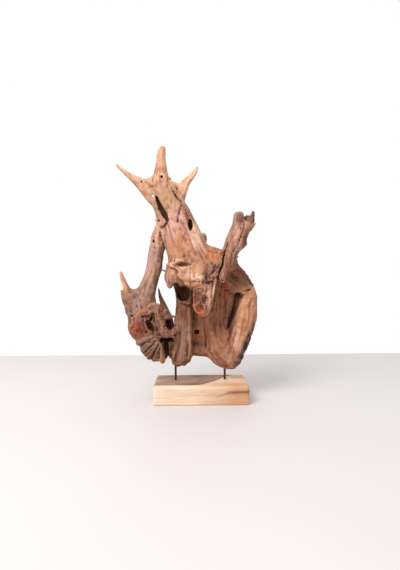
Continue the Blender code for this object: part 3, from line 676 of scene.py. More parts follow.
def scoops(points, size):
    """Shallow scoops with sharp rims, as where wood broke away: 0 on a rim, about 1 in a scoop."""
    base = np.floor(points / size)
    part = points / size - base
    nearest = np.full((2, points.shape[1]), 9.0, dtype=np.float32)
    for shift in product((-1, 0, 1), repeat=3):
        step = np.array(shift)[:, None]
        a, b, c = (base + step).astype(np.int32)
        jitter = [LATTICE[(a + i) & WRAP, (b + j) & WRAP, (c + k) & WRAP]
                  for i, j, k in ((0, 0, 0), (5, 11, 17), (13, 3, 7))]
        centre = step + 0.5 + 0.42 * np.array(jitter)
        gap = np.sqrt(((part - centre) ** 2).sum(axis=0))
        nearest[1] = np.minimum(nearest[1], np.maximum(gap, nearest[0]))
        nearest[0] = np.minimum(nearest[0], gap)
    return nearest[1] - nearest[0]


# Flutes, ribs and fibres of the surface, as grained() takes them, and the even wear
FURROWS = [(15.0, 120.0, 1, 1.2), (6.5, 70.0, 2, 1.2), (3.4, 34.0, 3, 0.6)]
EVEN_WEAR = 0.7
# Where cracks run, and the parts of the wood that have them, as grain_noise() takes them
CRACKS = (19.0, 120.0, 4)
CRACKED_PARTS = (40.0, 120.0, 5)
CRACK_DEPTH = 1.7
# Lumps of rough wood, and scoops where it is rougher than BROKEN
LUMP_DEPTH = 2.0
LARGE_SCOOP, SMALL_SCOOP = 13.0, 6.5
SCOOP_DEPTH = 6.5
BROKEN = 0.15


def relief(points, gaps, grain):
    """How far the weather has eaten the surface away at points, in drawn units."""
    seen = as_seen(points)
    rough = spread(seen, ROUGH)
    calm = spread(seen, CALM)
    # Cracks run where a wide swell passes zero, in parts of the wood
    split = grain_noise(gaps, grain, *CRACKS)
    where = grain_noise(gaps, grain, *CRACKED_PARTS)
    crack = rise(1.0 - np.abs(split), 0.8, 0.98) * rise(where, 0.05, 0.45)
    lumps = noise(points / 9.0, 6) + 0.6 * noise(points / 5.0, 7)
    eaten = (grained(gaps, grain, FURROWS) + EVEN_WEAR) * (1.0 - calm) * (1.0 + 0.4 * rough)
    eaten = eaten + CRACK_DEPTH * crack * (1.0 - 0.8 * calm)
    eaten = eaten + rough * (LUMP_DEPTH * lumps + 0.2)
    # Large and small scoops where the wood is rough enough to have broken
    broken = rough > BROKEN
    part = points[:, broken]
    eaten[broken] += (SCOOP_DEPTH * rise(rough[broken], BROKEN, 0.9)
                      * (0.75 * scoops(part, LARGE_SCOOP) + 0.35 * scoops(part, SMALL_SCOOP)
                         - 0.15))
    return eaten.astype(np.float32)


# Skin

def at_corners(grid):
    """The grid's values at each of the eight corners of its cells."""
    x, y, z = np.array(grid.shape) - 1
    return [grid[i:x + i, j:y + j, k:z + k] for i, j, k in CORNERS]


def fine_field(form):
    """The root's field on the fine grid, exact where it is near the skin, and the low corner."""
    low, high = form.box()
    low = low - MARGIN
    counts = np.ceil((high + MARGIN - low) / COARSE).astype(int) + 1
    ticks = [low[i] + COARSE * np.arange(counts[i]) for i in range(3)]
    grids = np.meshgrid(*ticks, indexing="ij")
    points = np.array([grid.ravel() for grid in grids], dtype=np.float32)
    coarse = form.survey(points, reach=COARSE)[0].reshape(counts)
    fine = coarse
    for axis in range(3):
        start = np.moveaxis(fine, axis, 0)
        steps = np.arange((len(start) - 1) * SPLIT + 1) / SPLIT
        below = np.minimum(steps.astype(int), len(start) - 2)
        part = (steps - below).astype(np.float32)[:, None, None]
        fine = np.moveaxis(start[below] * (1.0 - part) + start[below + 1] * part, 0, axis)
    fine = np.ascontiguousarray(fine)
    near = np.abs(coarse) < BAND
    for bar, path in form.small:
        bottom, top = path_box(path, bar.blend + COARSE)
        first = np.floor((bottom - low) / COARSE).astype(int)
        last = np.ceil((top - low) / COARSE).astype(int)
        span = tuple(slice(max(a, 0), b + 1) for a, b in zip(first, last))
        near[span] |= np.abs(coarse[span]) < SMALL_BAND
    cells = np.any(at_corners(near), axis=0)
    marked = np.zeros(fine.shape, dtype=bool)
    for i, j, k in product(range(SPLIT + 1), repeat=3):
        x, y, z = (counts - 1) * SPLIT + (i, j, k)
        marked[i:x:SPLIT, j:y:SPLIT, k:z:SPLIT] |= cells
    place = np.array(np.nonzero(marked))
    points = (low[:, None] + CELL * place).astype(np.float32)
    field, _, gaps, grain = form.survey(points)
    fine[tuple(place)] = field + relief(points, gaps, grain)
    return fine, low


def mixed_cells(inside):
    """Cells of the grid that the skin passes through."""
    total = sum(part.astype(np.int8) for part in at_corners(inside))
    return np.argwhere((total > 0) & (total < len(CORNERS)))


def settle(field):
    """Fills corners, just inside the skin, where the solid would touch itself at an edge."""
    faces = [np.flatnonzero(CORNERS[:, axis] == side) for axis in range(3) for side in (0, 1)]
    while True:
        cells = mixed_cells(field < 0)
        block = np.array([field[tuple((cells + corner).T)] < 0 for corner in CORNERS])
        pinched = np.zeros(len(cells), dtype=bool)
        for a, b, c, d in faces:
            pinched |= (block[a] == block[d]) & (block[b] == block[c]) & (block[a] != block[b])
        total = block.sum(axis=0)
        for corner in range(4):
            pair = block[corner] == block[7 - corner]
            pinched |= pair & block[corner] & (total == 2)
            pinched |= pair & ~block[corner] & (total == 6)
        cells = cells[pinched]
        if not len(cells):
            return
        for corner in CORNERS:
            place = tuple((cells + corner).T)
            field[place] = np.minimum(field[place], -0.05 * CELL)


def skin(field, low):
    """Faces on the zero surface: a vertex in each crossed cell, a quad on each crossed edge."""
    inside = field < 0
    cells = mixed_cells(inside)
    values = np.array([field[tuple((cells + corner).T)] for corner in CORNERS])
    place = np.zeros((len(cells), 3))
    crossings = np.zeros(len(cells))
    for a, first in enumerate(CORNERS):
        for b, second in enumerate(CORNERS):
            step = second - first
            if step.min() < 0 or step.sum() != 1:
                continue
            crossed = (values[a] < 0) != (values[b] < 0)
            t = values[a][crossed] / (values[a][crossed] - values[b][crossed])
            place[crossed] += first + t[:, None] * step
            crossings[crossed] += 1
    vertices = low + CELL * (cells + place / crossings[:, None])
    number = np.full(np.array(field.shape) - 1, -1)
    number[tuple(cells.T)] = np.arange(len(cells))
    quads = []
    for axis in range(3):
        one, two = (axis + 1) % 3, (axis + 2) % 3
        edges = np.argwhere(inside != np.roll(inside, -1, axis=axis))
        edges = edges[edges.min(axis=1) > 0]
        around = []
        for back_one, back_two in ((0, 0), (1, 0), (1, 1), (0, 1)):
            cell = edges.copy()
            cell[:, one] -= back_one
            cell[:, two] -= back_two
            around.append(number[tuple(cell.T)])
        faces = np.array(around).T
        outward = inside[tuple(edges.T)]
        faces[~outward] = faces[~outward][:, ::-1]
        quads.append(faces)
    return vertices, np.concatenate(quads)


def largest_part(vertices, faces):
    """Only the biggest connected part, without loose crumbs."""
    label = np.arange(len(vertices))
    ends = np.concatenate([faces[:, [0, 1]], faces[:, [1, 2]], faces[:, [2, 3]], faces[:, [3, 0]]])
    while True:
        lower = np.minimum(label[ends[:, 0]], label[ends[:, 1]])
        new = label.copy()
        np.minimum.at(new, ends[:, 0], lower)
        np.minimum.at(new, ends[:, 1], lower)
        new = new[new]
        if np.array_equal(new, label):
            break
        label = new
    keep = label == np.bincount(label).argmax()
    number = np.cumsum(keep) - 1
    return vertices[keep], number[faces[keep[faces[:, 0]]]]


def plain_mesh(made, name):
    """The object's mesh as its modifiers leave it, in their place."""
    bpy.context.view_layer.update()
    graph = bpy.context.evaluated_depsgraph_get()
    mesh = bpy.data.meshes.new_from_object(made.evaluated_get(graph))
    mesh.name = name
    made.modifiers.clear()
    made.data = mesh
    return mesh


def add_object(name, mesh):
    """Links a mesh to the scene as a named object."""
    made = bpy.data.objects.new(name, mesh)
    bpy.context.scene.collection.objects.link(made)
    return made


# Colour

def linear(code):
    """An sRGB hex colour as linear red, green and blue."""
    parts = [int(code[i:i + 2], 16) / 255 for i in (1, 3, 5)]
    return tuple(v / 12.92 if v <= 0.04045 else ((v + 0.055) / 1.055) ** 2.4 for v in parts)


# Tints of the wood from place to place, some of them painted shade and painted highlights, laid
# over each other in this order
STAINS = [
    ("crown", "#CE9F7E", Spot(-120, 610, 0, 120, 80, 90)),
    ("left prong", "#CB9F83", Spot(-185, 602, 0, 60, 45, 90)),
    ("right prong", "#E2B795", Spot(-30, 592, 10, 42, 48, 60)),
    ("joint of the prong", "#A97B60", Spot(-62, 556, 0, 8, 20, 30)),
    ("upper trunk", "#AE8563", Spot(-88, 535, 0, 46, 52, 90)),
    ("grey flank", "#C29481", Spot(-66, 472, -10, 38, 52, 90)),
    ("lower trunk", "#B98566", Spot(-30, 412, -10, 72, 36, 90)),
    ("orange on the trunk", "#B97A52", Spot(-52, 432, -50, 9, 40, 40)),
    ("right flank", "#DDB79E", Spot(-8, 446, -10, 22, 46, 90)),
    ("bowl", "#BF7D55", Spot(34, 386, -10, 34, 24, 70)),
    ("face", "#CC9A7A", Spot(-32, 344, -40, 64, 34, 50)),
    # Painted highlight along the brow ridge
    ("brow", "#CFA27E", Spot(-70, 373, -40, 30, 9, 30)),
    ("cheek", "#E6C0A2", Spot(-20, 331, -50, 26, 12, 40)),
    ("eye", "#7A5240", Spot(-55, 365, -56, 12, 6, 20)),
    # Painted shade deep in the cavity
    ("painted shade in the cavity", "#2E1C15", Spot(-56, 290, -4, 30, 24, 20)),
    ("lobe", "#B58C78", Spot(-85, 334, -30, 17, 28, 40)),
    ("orange patch", "#CC835A", Spot(-18, 308, -50, 22, 8, 30)),
    ("nose", "#6A3A2A", Spot(-6, 278, -60, 20, 17, 40)),
    ("first facet of the nose", "#8E4C38", Spot(-14, 271, -70, 10, 9, 20)),
    ("second facet of the nose", "#BE6232", Spot(-1, 247, -70, 14, 15, 24)),
    ("nose lip", "#C8927A", Spot(8, 228, -60, 10, 5, 20)),
    ("panel", "#BE907A", Spot(22, 276, -50, 13, 42, 26)),
    ("fin", "#E4C4B0", Spot(38, 286, -54, 6, 40, 26)),
    ("rough place", "#A27668", Spot(36, 345, -40, 28, 30, 40)),
    ("dark of the rough place", "#5A3A32", Spot(22, 322, -46, 18, 8, 40)),
    ("second dark of the rough place", "#5E3C34", Spot(38, 362, -46, 7, 7, 40)),
    ("third dark of the rough place", "#6A463C", Spot(16, 342, -46, 6, 9, 40)),
    ("stub", "#C49781", Spot(104, 446, -10, 32, 56, 60)),
    # Pinkish lump of the stub, with a painted highlight
    ("pink lump of the stub with painted highlight", "#CC9A80", Spot(106, 446, -30, 8, 18, 24)),
    ("left side of the stub", "#957060", Spot(86, 440, -16, 9, 44, 40)),
    # Painted shade on the stub's right side
    ("painted shade on the stub's right side", "#744630", Spot(124, 428, 0, 13, 40, 60)),
    ("stub top", "#9C7867", Spot(104, 492, -10, 24, 22, 60)),
    ("stub back", "#55443E", Spot(136, 499, 10, 18, 22, 14)),
    # Dark wood and painted shade in the hollow of the stub
    ("dark wood and painted shade in the stub's hollow", "#33231C", Spot(122, 494, 5, 8, 13, 13)),
    # Dark red-brown of the shoulder, darkened further as painted shade in the hollow behind the
    # stub
    ("shoulder", "#5D2C19", Spot(108, 330, 10, 42, 38, 60)),
    ("upper shoulder", "#8A5A42", Spot(88, 368, 0, 18, 22, 60)),
    ("edge of the shoulder", "#46302A", Spot(124, 350, 4, 9, 14, 40)),
    ("lower edge of the shoulder", "#4C342A", Spot(141, 318, 2, 6, 14, 40)),
    ("wall", "#946042", Spot(40, 238, 22, 78, 92, 36)),
    ("upper wall", "#A06244", Spot(58, 302, 14, 34, 26, 40)),
    ("lower wall", "#A46D4D", Spot(66, 150, 20, 46, 46, 50)),
    ("left of the wall", "#8A583E", Spot(-4, 150, 14, 26, 70, 30)),
    # Painted shadow beside the crevice
    ("painted shadow by the crevice", "#5A382A", Spot(88, 222, 0, 14, 36, 36)),
    ("outer limb", "#C2906A", Spot(124, 224, -12, 36, 80, 44)),
    ("lower limb", "#CEA288", Spot(104, 160, -20, 18, 40, 40)),
    ("right end of the shoulder", "#5A3828", Spot(132, 319, -4, 19, 15, 40)),
    ("orange on the limb", "#B97F56", Spot(116, 200, -30, 8, 18, 30)),
    ("orange edge of the limb", "#B47A52", Spot(148, 236, -6, 8, 30, 40)),
    ("upper bark", "#5E483C", Spot(145, 196, -6, 9, 20, 40)),
    ("bark", "#47342A", Spot(137, 170, -8, 10, 18, 40)),
    ("middle bark", "#412F25", Spot(125, 148, -8, 11, 18, 40)),
    ("lower bark", "#412F25", Spot(114, 120, -8, 10, 20, 40)),
    ("foot", "#B4866A", Spot(80, 104, 6, 34, 22, 50)),
    ("end of the foot", "#6A4B3C", Spot(104, 94, -4, 14, 16, 50)),
    ("pillar", "#81563D", Spot(-48, 190, 0, 34, 116, 60)),
    ("top of the pillar", "#74472F", Spot(-42, 250, -16, 24, 28, 40)),
    ("dark left of the pillar", "#5E4034", Spot(-64, 256, -4, 6, 40, 40)),
    ("pillar foot", "#835A48", Spot(-54, 104, 0, 34, 18, 60)),
    ("pillar streak", "#A26C48", Spot(-31, 190, -30, 6, 74, 30)),
    ("second pillar streak", "#9A6A55", Spot(-58, 150, -30, 5, 60, 30)),
    ("upper column", "#C69A82", Spot(-112, 444, 6, 26, 48, 60)),
    ("column", "#B58B7A", Spot(-130, 362, 6, 28, 52, 60)),
    # Painted shade down the column's right side, where it meets the trunk
    ("upper painted shade by the column", "#6C4634", Spot(-95, 434, 8, 8, 44, 40)),
    ("painted shade by the column", "#744C3A", Spot(-104, 366, 10, 9, 40, 40)),
    ("lower painted shade by the column", "#6C4836", Spot(-118, 318, 10, 8, 34, 40)),
    ("column foot", "#9C7C70", Spot(-152, 290, 0, 34, 26, 60)),
    ("mass", "#8F6852", Spot(-174, 244, 0, 40, 48, 70)),
    ("purple on the mass", "#835D4E", Spot(-182, 268, -10, 12, 26, 60)),
    ("tan on the mass", "#A87856", Spot(-166, 236, -30, 14, 14, 30)),
    ("grey edge", "#85695B", Spot(-198, 226, 0, 12, 52, 60)),
    ("finger", "#C99D80", Spot(-211, 328, -6, 14, 34, 30)),
    ("burl halo", "#84503F", Spot(-158, 210, -36, 22, 28, 30)),
    ("burl edge", "#A36A50", Spot(-186, 190, -30, 14, 24, 34)),
    ("burl", "#732B16", Spot(-172, 189, -40, 21, 21, 24)),
    ("orange on the burl", "#9C563A", Spot(-186, 184, -34, 7, 12, 30)),
    ("knob", "#865D4E", Spot(-122, 246, -42, 24, 13, 26)),
    ("left end of the knob", "#A0684C", Spot(-162, 240, -36, 8, 8, 22)),
    ("twisted root", "#8A5F4F", Spot(-105, 200, -50, 30, 22, 26)),
    ("ribs", "#775445", Spot(-138, 140, -10, 44, 38, 70)),
    ("inner rib", "#BA8662", Spot(-107, 114, -20, 9, 20, 30)),
    ("spike", "#927060", Spot(-101, 262, 24, 13, 46, 16)),
]
PLAIN_TEAK = "#9C6E54"

# Where sun and rain have greyed the wood, and how much
BLEACHED = [
    (Spot(-176, 250, 0, 46, 66, 90), 1.0),
    (Spot(-130, 380, 0, 40, 80, 90), 0.8),
    (Spot(-50, 170, -10, 34, 90, 60), 0.7),
    (Spot(-60, 480, 0, 44, 60, 90), 0.55),
    (Spot(106, 460, 0, 40, 70, 60), 0.7),
    (Spot(10, 300, 60, 120, 200, 60), 0.6),
    (Spot(138, 170, 8, 16, 50, 40), 0.6),
    (Spot(-140, 150, -10, 46, 50, 60), 0.6),
]

# Hollows of the knot that are open to the light, and how much less dark they are
LIT_HOLLOWS = [
    (Spot(-83, 205, -10, 18, 20, 60), 0.85),
    (Spot(-138, 200, -30, 14, 22, 40), 0.45),
]

# Wandering edges of the stains, dark and pale streaks, and greying, as grained() takes them
WANDERING = [(22.0, 60.0, 21, 1.0), (9.0, 30.0, 22, 0.5)]
STREAKS = [(7.0, 60.0, 23, 0.6), (3.6, 44.0, 24, 0.55)]
GREYING = [(26.0, 70.0, 25, 1.0), (7.0, 60.0, 26, 0.5)]
# How far an edge wanders to the side and upward
WANDER_ASIDE, WANDER_UP = 7.0, 12.0
# Rounds of averaging that show narrow edges and wide swells
EDGE_ROUNDS, SWELL_ROUNDS = 3, 14


def tints(points, wander):
    """Colour of the wood at points, painted shade and highlights among the stains, whose edges
    wander along the grain.
    """
    x, z, y = as_seen(points)
    seen = (x + WANDER_ASIDE * wander, z + WANDER_UP * wander, y)
    colour = np.tile(np.array(linear(PLAIN_TEAK), dtype=np.float32)[:, None], (1, points.shape[1]))
    for _, code, spot in STAINS:
        colour += in_spot(seen, spot) * (np.array(linear(code))[:, None] - colour)
    return colour


def read(mesh, name):
    """Three rows of what the mesh's vertices hold under a name."""
    values = np.zeros(len(mesh.vertices) * 3, dtype=np.float32)
    mesh.vertices.foreach_get(name, values)
    return values.reshape(-1, 3).T


def neighbours(mesh):
    """Both ends of every edge, each way round, and how many neighbours each vertex has."""
    ends = np.zeros(len(mesh.edges) * 2, dtype=np.int32)
    mesh.edges.foreach_get("vertices", ends)
    ends = ends.reshape(-1, 2)
    ends = np.concatenate([ends, ends[:, ::-1]])
    return ends, np.bincount(ends[:, 0], minlength=len(mesh.vertices))


def averaged(values, ends, count, times):
    """Rows of values at the vertices, averaged with their neighbours a few times."""
    for _ in range(times):
        values = np.array([0.5 * row + 0.5 * np.bincount(ends[:, 0], weights=row[ends[:, 1]],
                                                         minlength=len(row)) / count
                           for row in values])
    return values


def store(mesh, name, kind, values):
    """Writes one value to each vertex of the mesh, under a name."""
    layer = mesh.attributes.new(name, kind, "POINT")
    field = {"FLOAT": "value", "FLOAT_VECTOR": "vector", "FLOAT_COLOR": "color"}[kind]
    layer.data.foreach_set(field, np.ascontiguousarray(values, dtype=np.float32).ravel())


def paint(mesh, form):
    """Stores what the wood's finish reads: tint with its painted shade and highlights, streaks,
    greying, wear, creases and ridges for painted shade and paler ridges, painted shade in the
    hollows, and grain.
    """
    points = ((read(mesh, "co").T - np.array([0.0, 0.0, ROOT_LOW.z])) / UNIT
              + np.array([0.0, 0.0, DRAWN_FOOT])).T.astype(np.float32)
    _, under, gaps, grain = form.survey(points)
    seen = as_seen(points)
    tint = tints(points, grained(gaps, grain, WANDERING))
    bleach = (0.6 + grained(gaps, grain, GREYING)) * spread(seen, BLEACHED)
    ends, degree = neighbours(mesh)
    normals = read(mesh, "normal")
    near = averaged(points, ends, degree, EDGE_ROUNDS)
    wide = averaged(near, ends, degree, SWELL_ROUNDS)
    # How far each vertex stands out of its narrow and its wide surroundings: the finish darkens
    # the hollow ones as painted shade and makes ridges paler
    edge = -((near - points) * normals).sum(axis=0)
    swell = -((wide - points) * normals).sum(axis=0)
    store(mesh, "tint", "FLOAT_COLOR", np.vstack([tint, np.ones_like(tint[:1])]).T)
    store(mesh, "streak", "FLOAT", grained(gaps, grain, STREAKS))
    store(mesh, "bleach", "FLOAT", bleach)
    store(mesh, "edge", "FLOAT", edge)
    store(mesh, "swell", "FLOAT", swell)
    # Painted shade deep in the hollows: darker the deeper under the old skin, less where a hollow
    # is open to the light
    hollow = 0.9 * rise(under, 2.0, 17.0) * (1.0 - spread(seen, LIT_HOLLOWS))
    store(mesh, "hollow", "FLOAT", hollow)
    store(mesh, "rough", "FLOAT", spread(seen, ROUGH))
    store(mesh, "grain", "FLOAT_VECTOR", grain[0].T)
    store(mesh, "sure", "FLOAT", rise(gaps[1] - gaps[0], 0.5, 5.0))


def make_root():
    """The root's skin, thinned to its share of triangles and painted."""
    form = Form()
    field, low = fine_field(form)
    settle(field)
    vertices, faces = largest_part(*skin(field, low))
    mesh = bpy.data.meshes.new("weathered_root")
    mesh.from_pydata(to_world(vertices).tolist(), [], faces.tolist())
    root = add_object("weathered_root", mesh)
    thin = root.modifiers.new("thin", "DECIMATE")
    thin.ratio = ROOT_TRIANGLES / (2 * len(faces))
    mesh = plain_mesh(root, "weathered_root")
    mesh.shade_smooth()
    paint(mesh, form)
    return root


# The block

BLOCK_LOW, BLOCK_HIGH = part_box("base_block")
BLOCK_HALF = np.array(BLOCK_HIGH - BLOCK_LOW) / 2
BLOCK_MIDDLE = np.array(BLOCK_HIGH + BLOCK_LOW) / 2
TOP_RADIUS = 0.0095
FOOT_RADIUS = 0.0035
BLOCK_MESH_STEP = 0.0022
# Room round a rod and under its end
ROD_CLEARANCE = 0.0004
SEAT_CLEARANCE = 0.0003

# Marks in the block, in mm. The heartwood's front limit starts at one y on the left, goes
# back by its retreat over the stretch of x where it bends, and slants down the front face
HEART_START, HEART_RETREAT, HEART_SLANT = -51.0, 112.0, 0.9
HEART_BEND = (-18.0, 112.0)
# The dark streak of the front face and the feather under it: height and half thickness
STREAK_HEIGHT, STREAK_HALF = 33.5, 3.8
FEATHER_HEIGHT, FEATHER_HALF = 22.0, 2.0
# Both fade out behind the face, over this stretch of -y
FACE_FADE = (30.0, 50.0)


def block_faces():
    """Points and faces of a finely divided plain box, each side apart."""
    points, faces = [], []
    for axis in range(3):
        one, two = (axis + 1) % 3, (axis + 2) % 3
        counts = [int(round(2 * BLOCK_HALF[i] / BLOCK_MESH_STEP)) for i in (one, two)]
        ticks = [np.linspace(-BLOCK_HALF[i], BLOCK_HALF[i], count + 1)
                 for i, count in zip((one, two), counts)]
        for side in (-1, 1):
            grid = np.zeros((counts[0] + 1, counts[1] + 1, 3))
            grid[..., axis] = side * BLOCK_HALF[axis]
            grid[..., one] = ticks[0][:, None]
            grid[..., two] = ticks[1][None, :]
            number = sum(len(part) for part in points) + np.arange(grid[..., 0].size)
            number = number.reshape(grid.shape[:2])
            quads = np.stack([number[:-1, :-1], number[1:, :-1], number[1:, 1:], number[:-1, 1:]],
                             axis=-1)
            points.append(grid.reshape(-1, 3))
            faces.append((quads if side > 0 else quads[..., ::-1]).reshape(-1, 4))
    return np.concatenate(points), np.concatenate(faces)


def rounded(points):
    """The box's points drawn in to rounded edges: wide at the top, tight at the foot."""
    inner = np.clip(points, TOP_RADIUS - BLOCK_HALF, BLOCK_HALF - TOP_RADIUS)
    outward = points - inner
    outward = outward / np.linalg.norm(outward, axis=1)[:, None]
    height = rise(points[:, 2], -BLOCK_HALF[2], -BLOCK_HALF[2] + 0.022)[:, None]
    radius = FOOT_RADIUS + (TOP_RADIUS - FOOT_RADIUS) * height
    core = inner * (BLOCK_HALF - radius) / (BLOCK_HALF - TOP_RADIUS)
    # Sanded by hand: the sides are up to 0.5 mm hollow here and there
    uneven = 0.00025 * (1.0 + noise((points / 0.045).T.astype(np.float32), 41))[:, None]
    return core + (radius - uneven * height) * outward


def make_block():
    """The block with its rounded edges and the two holes for the rods."""
    points, faces = block_faces()
    mesh = bpy.data.meshes.new("sanded_block")
    mesh.from_pydata((rounded(points) + BLOCK_MIDDLE).tolist(), [], faces.tolist())
    shape = bmesh.new()
    shape.from_mesh(mesh)
    bmesh.ops.remove_doubles(shape, verts=shape.verts, dist=0.00002)
    shape.to_mesh(mesh)
    shape.free()
    block = add_object("sanded_block", mesh)
    holes = []
    for name in ("rod_left", "rod_right"):
        low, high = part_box(name)
        middle = (low + high) / 2
        radius = (high.x - low.x) / 2 + ROD_CLEARANCE
        drill = bpy.data.meshes.new("drill")
        shape = bmesh.new()
        bmesh.ops.create_cone(shape, cap_ends=True, segments=32, radius1=radius, radius2=radius,
                              depth=high.z - low.z)
        shape.to_mesh(drill)
        shape.free()
        hole = add_object("drill", drill)
        hole.location = (middle.x, middle.y, middle.z - SEAT_CLEARANCE)
        cut = block.modifiers.new("hole", "BOOLEAN")
        cut.object = hole
        holes.append(hole)
    mesh = plain_mesh(block, "sanded_block")
    for hole in holes:
        bpy.data.objects.remove(hole)
    mesh.shade_smooth()
    mesh.set_sharp_from_angle(angle=math.radians(50))
    paint_block(mesh)
    return block


def paint_block(mesh):
    """Stores where the heartwood, the dark streak and the growth lines run in the block."""
    x, y, z = read(mesh, "co") * 1000.0
    top = BLOCK_HIGH.z * 1000.0
    wave = noise(np.array([x / 60.0, y / 60.0, z / 30.0], dtype=np.float32), 42)
    fine = noise(np.array([x / 14.0, y / 14.0, z / 8.0], dtype=np.float32), 43)
    # The heartwood's front limit: along the front edge on the left, leaving at the back right
    limit = (HEART_START + HEART_RETREAT * rise(x, *HEART_BEND) + HEART_SLANT * (top - z)
             + 5.0 * wave + 1.2 * fine)
    inside = y - limit
    heart = rise(inside, -1.0, 2.5) * (1.0 - 0.15 * rise(inside, 4.0, 30.0) * rise(x, -40.0, 60.0))
    rim = np.exp(-((inside - 1.5) / 2.2) ** 2)
    in_face = rise(-y, *FACE_FADE)
    height = STREAK_HEIGHT + 1.5 * wave - 0.03 * (x - 100.0)
    streak = rise(x, 55.0, 84.0) * np.exp(-((z - height) / STREAK_HALF) ** 2) * in_face
    height = FEATHER_HEIGHT + 0.36 * (x - 40.0) + 1.2 * wave
    feather = (rise(x, 34.0, 44.0) * (1.0 - rise(x, 66.0, 80.0)) * in_face
               * np.exp(-((z - height) / FEATHER_HALF) ** 2))
    store(mesh, "heart", "FLOAT", heart)
    ripe = rise(x, -60.0, 110.0) * (0.55 + 0.45 * rise(-y, 20.0, 50.0)) + 0.15 * wave
    store(mesh, "ripe", "FLOAT", np.clip(ripe, 0.0, 1.0))
    store(mesh, "stain", "FLOAT", np.clip(0.35 * rim * rise(-x, -70.0, -20.0) + 0.75 * streak
                                          + 0.4 * feather, 0.0, 1.0))
    # One ring to the next: down the front, and on the top along the heartwood's limit
    bend = 80.0 * rise(x, *HEART_BEND) * rise(y, -62.0, -20.0)
    across = y - (top - z) - bend + 2.5 * wave
    store(mesh, "rings", "FLOAT_VECTOR", np.array([x, across, 0.2 * (y + z)]).T)


# Finishes

def node(tree, kind, settings=None, **links):
    """Adds a node, with its settings and with values or links for its sockets."""
    made = tree.nodes.new(kind)
    for name, value in (settings or {}).items():
        setattr(made, name, value)
    for name, value in links.items():
        key = int(name[1:]) if name[0] == "_" else name.replace("_", " ")
        socket = made.inputs[key]
        if isinstance(value, bpy.types.NodeSocket):
            tree.links.new(value, socket)
        else:
            socket.default_value = value
    return made


def new_material(name):
    """An empty node material with its shader and output."""
    made = bpy.data.materials.new(name)
    made.use_nodes = True
    tree = made.node_tree
    tree.nodes.clear()
    shader = tree.nodes.new("ShaderNodeBsdfPrincipled")
    output = tree.nodes.new("ShaderNodeOutputMaterial")
    tree.links.new(shader.outputs[0], output.inputs["Surface"])
    return made, tree, shader


def layered(tree, colour, layers):
    """Lays tints over a colour: how each blends, its share, and its colour.

    A share is a socket, or a value with its low and high limit and the most that it gives.
    """
    for blend, share, over in layers:
        if isinstance(share, tuple):
            value, low, high, most = share
            share = node(tree, "ShaderNodeMapRange", {"interpolation_type": "SMOOTHSTEP"},
                         Value=value, From_Min=low, From_Max=high, To_Max=most).outputs[0]
        pair = [(*linear(part), 1.0) if isinstance(part, str) else part for part in (colour, over)]
        colour = node(tree, "ShaderNodeMix", {"data_type": "RGBA", "blend_type": blend},
                      _0=share, _6=pair[0], _7=pair[1]).outputs[2]
    return colour


def weathered_teak():
    """Teak left outdoors and brushed: matt, with raised grain, pale ridges and painted shade in
    creases and hollows.
    """
    made, tree, shader = new_material("weathered teak")
    kept = {name: node(tree, "ShaderNodeAttribute", {"attribute_name": name})
            for name in ("tint", "grain", "streak", "bleach", "edge", "swell", "hollow", "rough",
                         "sure")}
    streak, bleach, edge, swell, hollow, rough, sure = (
        kept[name].outputs["Fac"] for name in list(kept)[2:])
    # Fibres 1.4 mm wide and 28 mm long, in the limb's own across, deep and along
    along_grain = node(tree, "ShaderNodeMapping", Vector=kept["grain"].outputs["Vector"],
                       Scale=(1 / 1.4, 1 / 1.4, 1 / 28)).outputs[0]
    fibre = node(tree, "ShaderNodeTexNoise", Vector=along_grain, Scale=1.0, Detail=3.0,
                 Roughness=0.6).outputs[0]
    fibre = node(tree, "ShaderNodeMath", {"operation": "SUBTRACT"}, _0=fibre, _1=0.5).outputs[0]
    fibre = node(tree, "ShaderNodeMath", {"operation": "MULTIPLY"}, _0=fibre, _1=sure).outputs[0]
    place = node(tree, "ShaderNodeTexCoord").outputs["Object"]
    # Pores and dust grains about 1.2 mm apart
    pores = node(tree, "ShaderNodeTexNoise", Vector=place, Scale=1 / 0.0012, Detail=2.0,
                 Roughness=0.6).outputs[0]
    # Blotches about 14 mm wide
    blotch = node(tree, "ShaderNodeTexNoise", Vector=place, Scale=1 / 0.014, Detail=4.0,
                  Roughness=0.6).outputs[0]
    colour = layered(tree, kept["tint"].outputs["Color"], [
        ("MULTIPLY", (streak, 0.05, -0.75, 0.8), "#A07866"),
        ("SCREEN", (streak, 0.1, 0.9, 0.5), "#4E3726"),
        ("MIX", (bleach, 0.2, 1.3, 0.45), "#A58C82"),
        ("MULTIPLY", (blotch, 0.56, 0.34, 0.5), "#B98A70"),
        ("MULTIPLY", (fibre, 0.02, -0.18, 0.45), "#A0765F"),
        # Painted shade in narrow creases and in broad hollows of the surface, then paler ridges
        ("MULTIPLY", (edge, -0.03, -0.5, 0.95), "#5E3828"),
        ("MULTIPLY", (swell, 0.0, -2.0, 0.85), "#744B39"),
        ("SCREEN", (edge, 0.08, 0.6, 0.75), "#66503F"),
        ("MULTIPLY", (pores, 0.42, 0.3, 0.4), "#7A5848"),
        # Painted shade deep in the hollows
        ("MIX", hollow, "#4A2F24"),
    ])
    tree.links.new(colour, shader.inputs["Base Color"])
    worn = node(tree, "ShaderNodeMapRange", Value=rough, To_Min=0.62, To_Max=0.85).outputs[0]
    tree.links.new(worn, shader.inputs["Roughness"])
    shader.inputs["Specular IOR Level"].default_value = 0.28
    bump = node(tree, "ShaderNodeBump", Height=fibre, Strength=0.7, Distance=0.0008).outputs[0]
    bump = node(tree, "ShaderNodeBump", Height=pores, Strength=0.35, Distance=0.0004,
                Normal=bump).outputs[0]
    tree.links.new(bump, shader.inputs["Normal"])
    return made


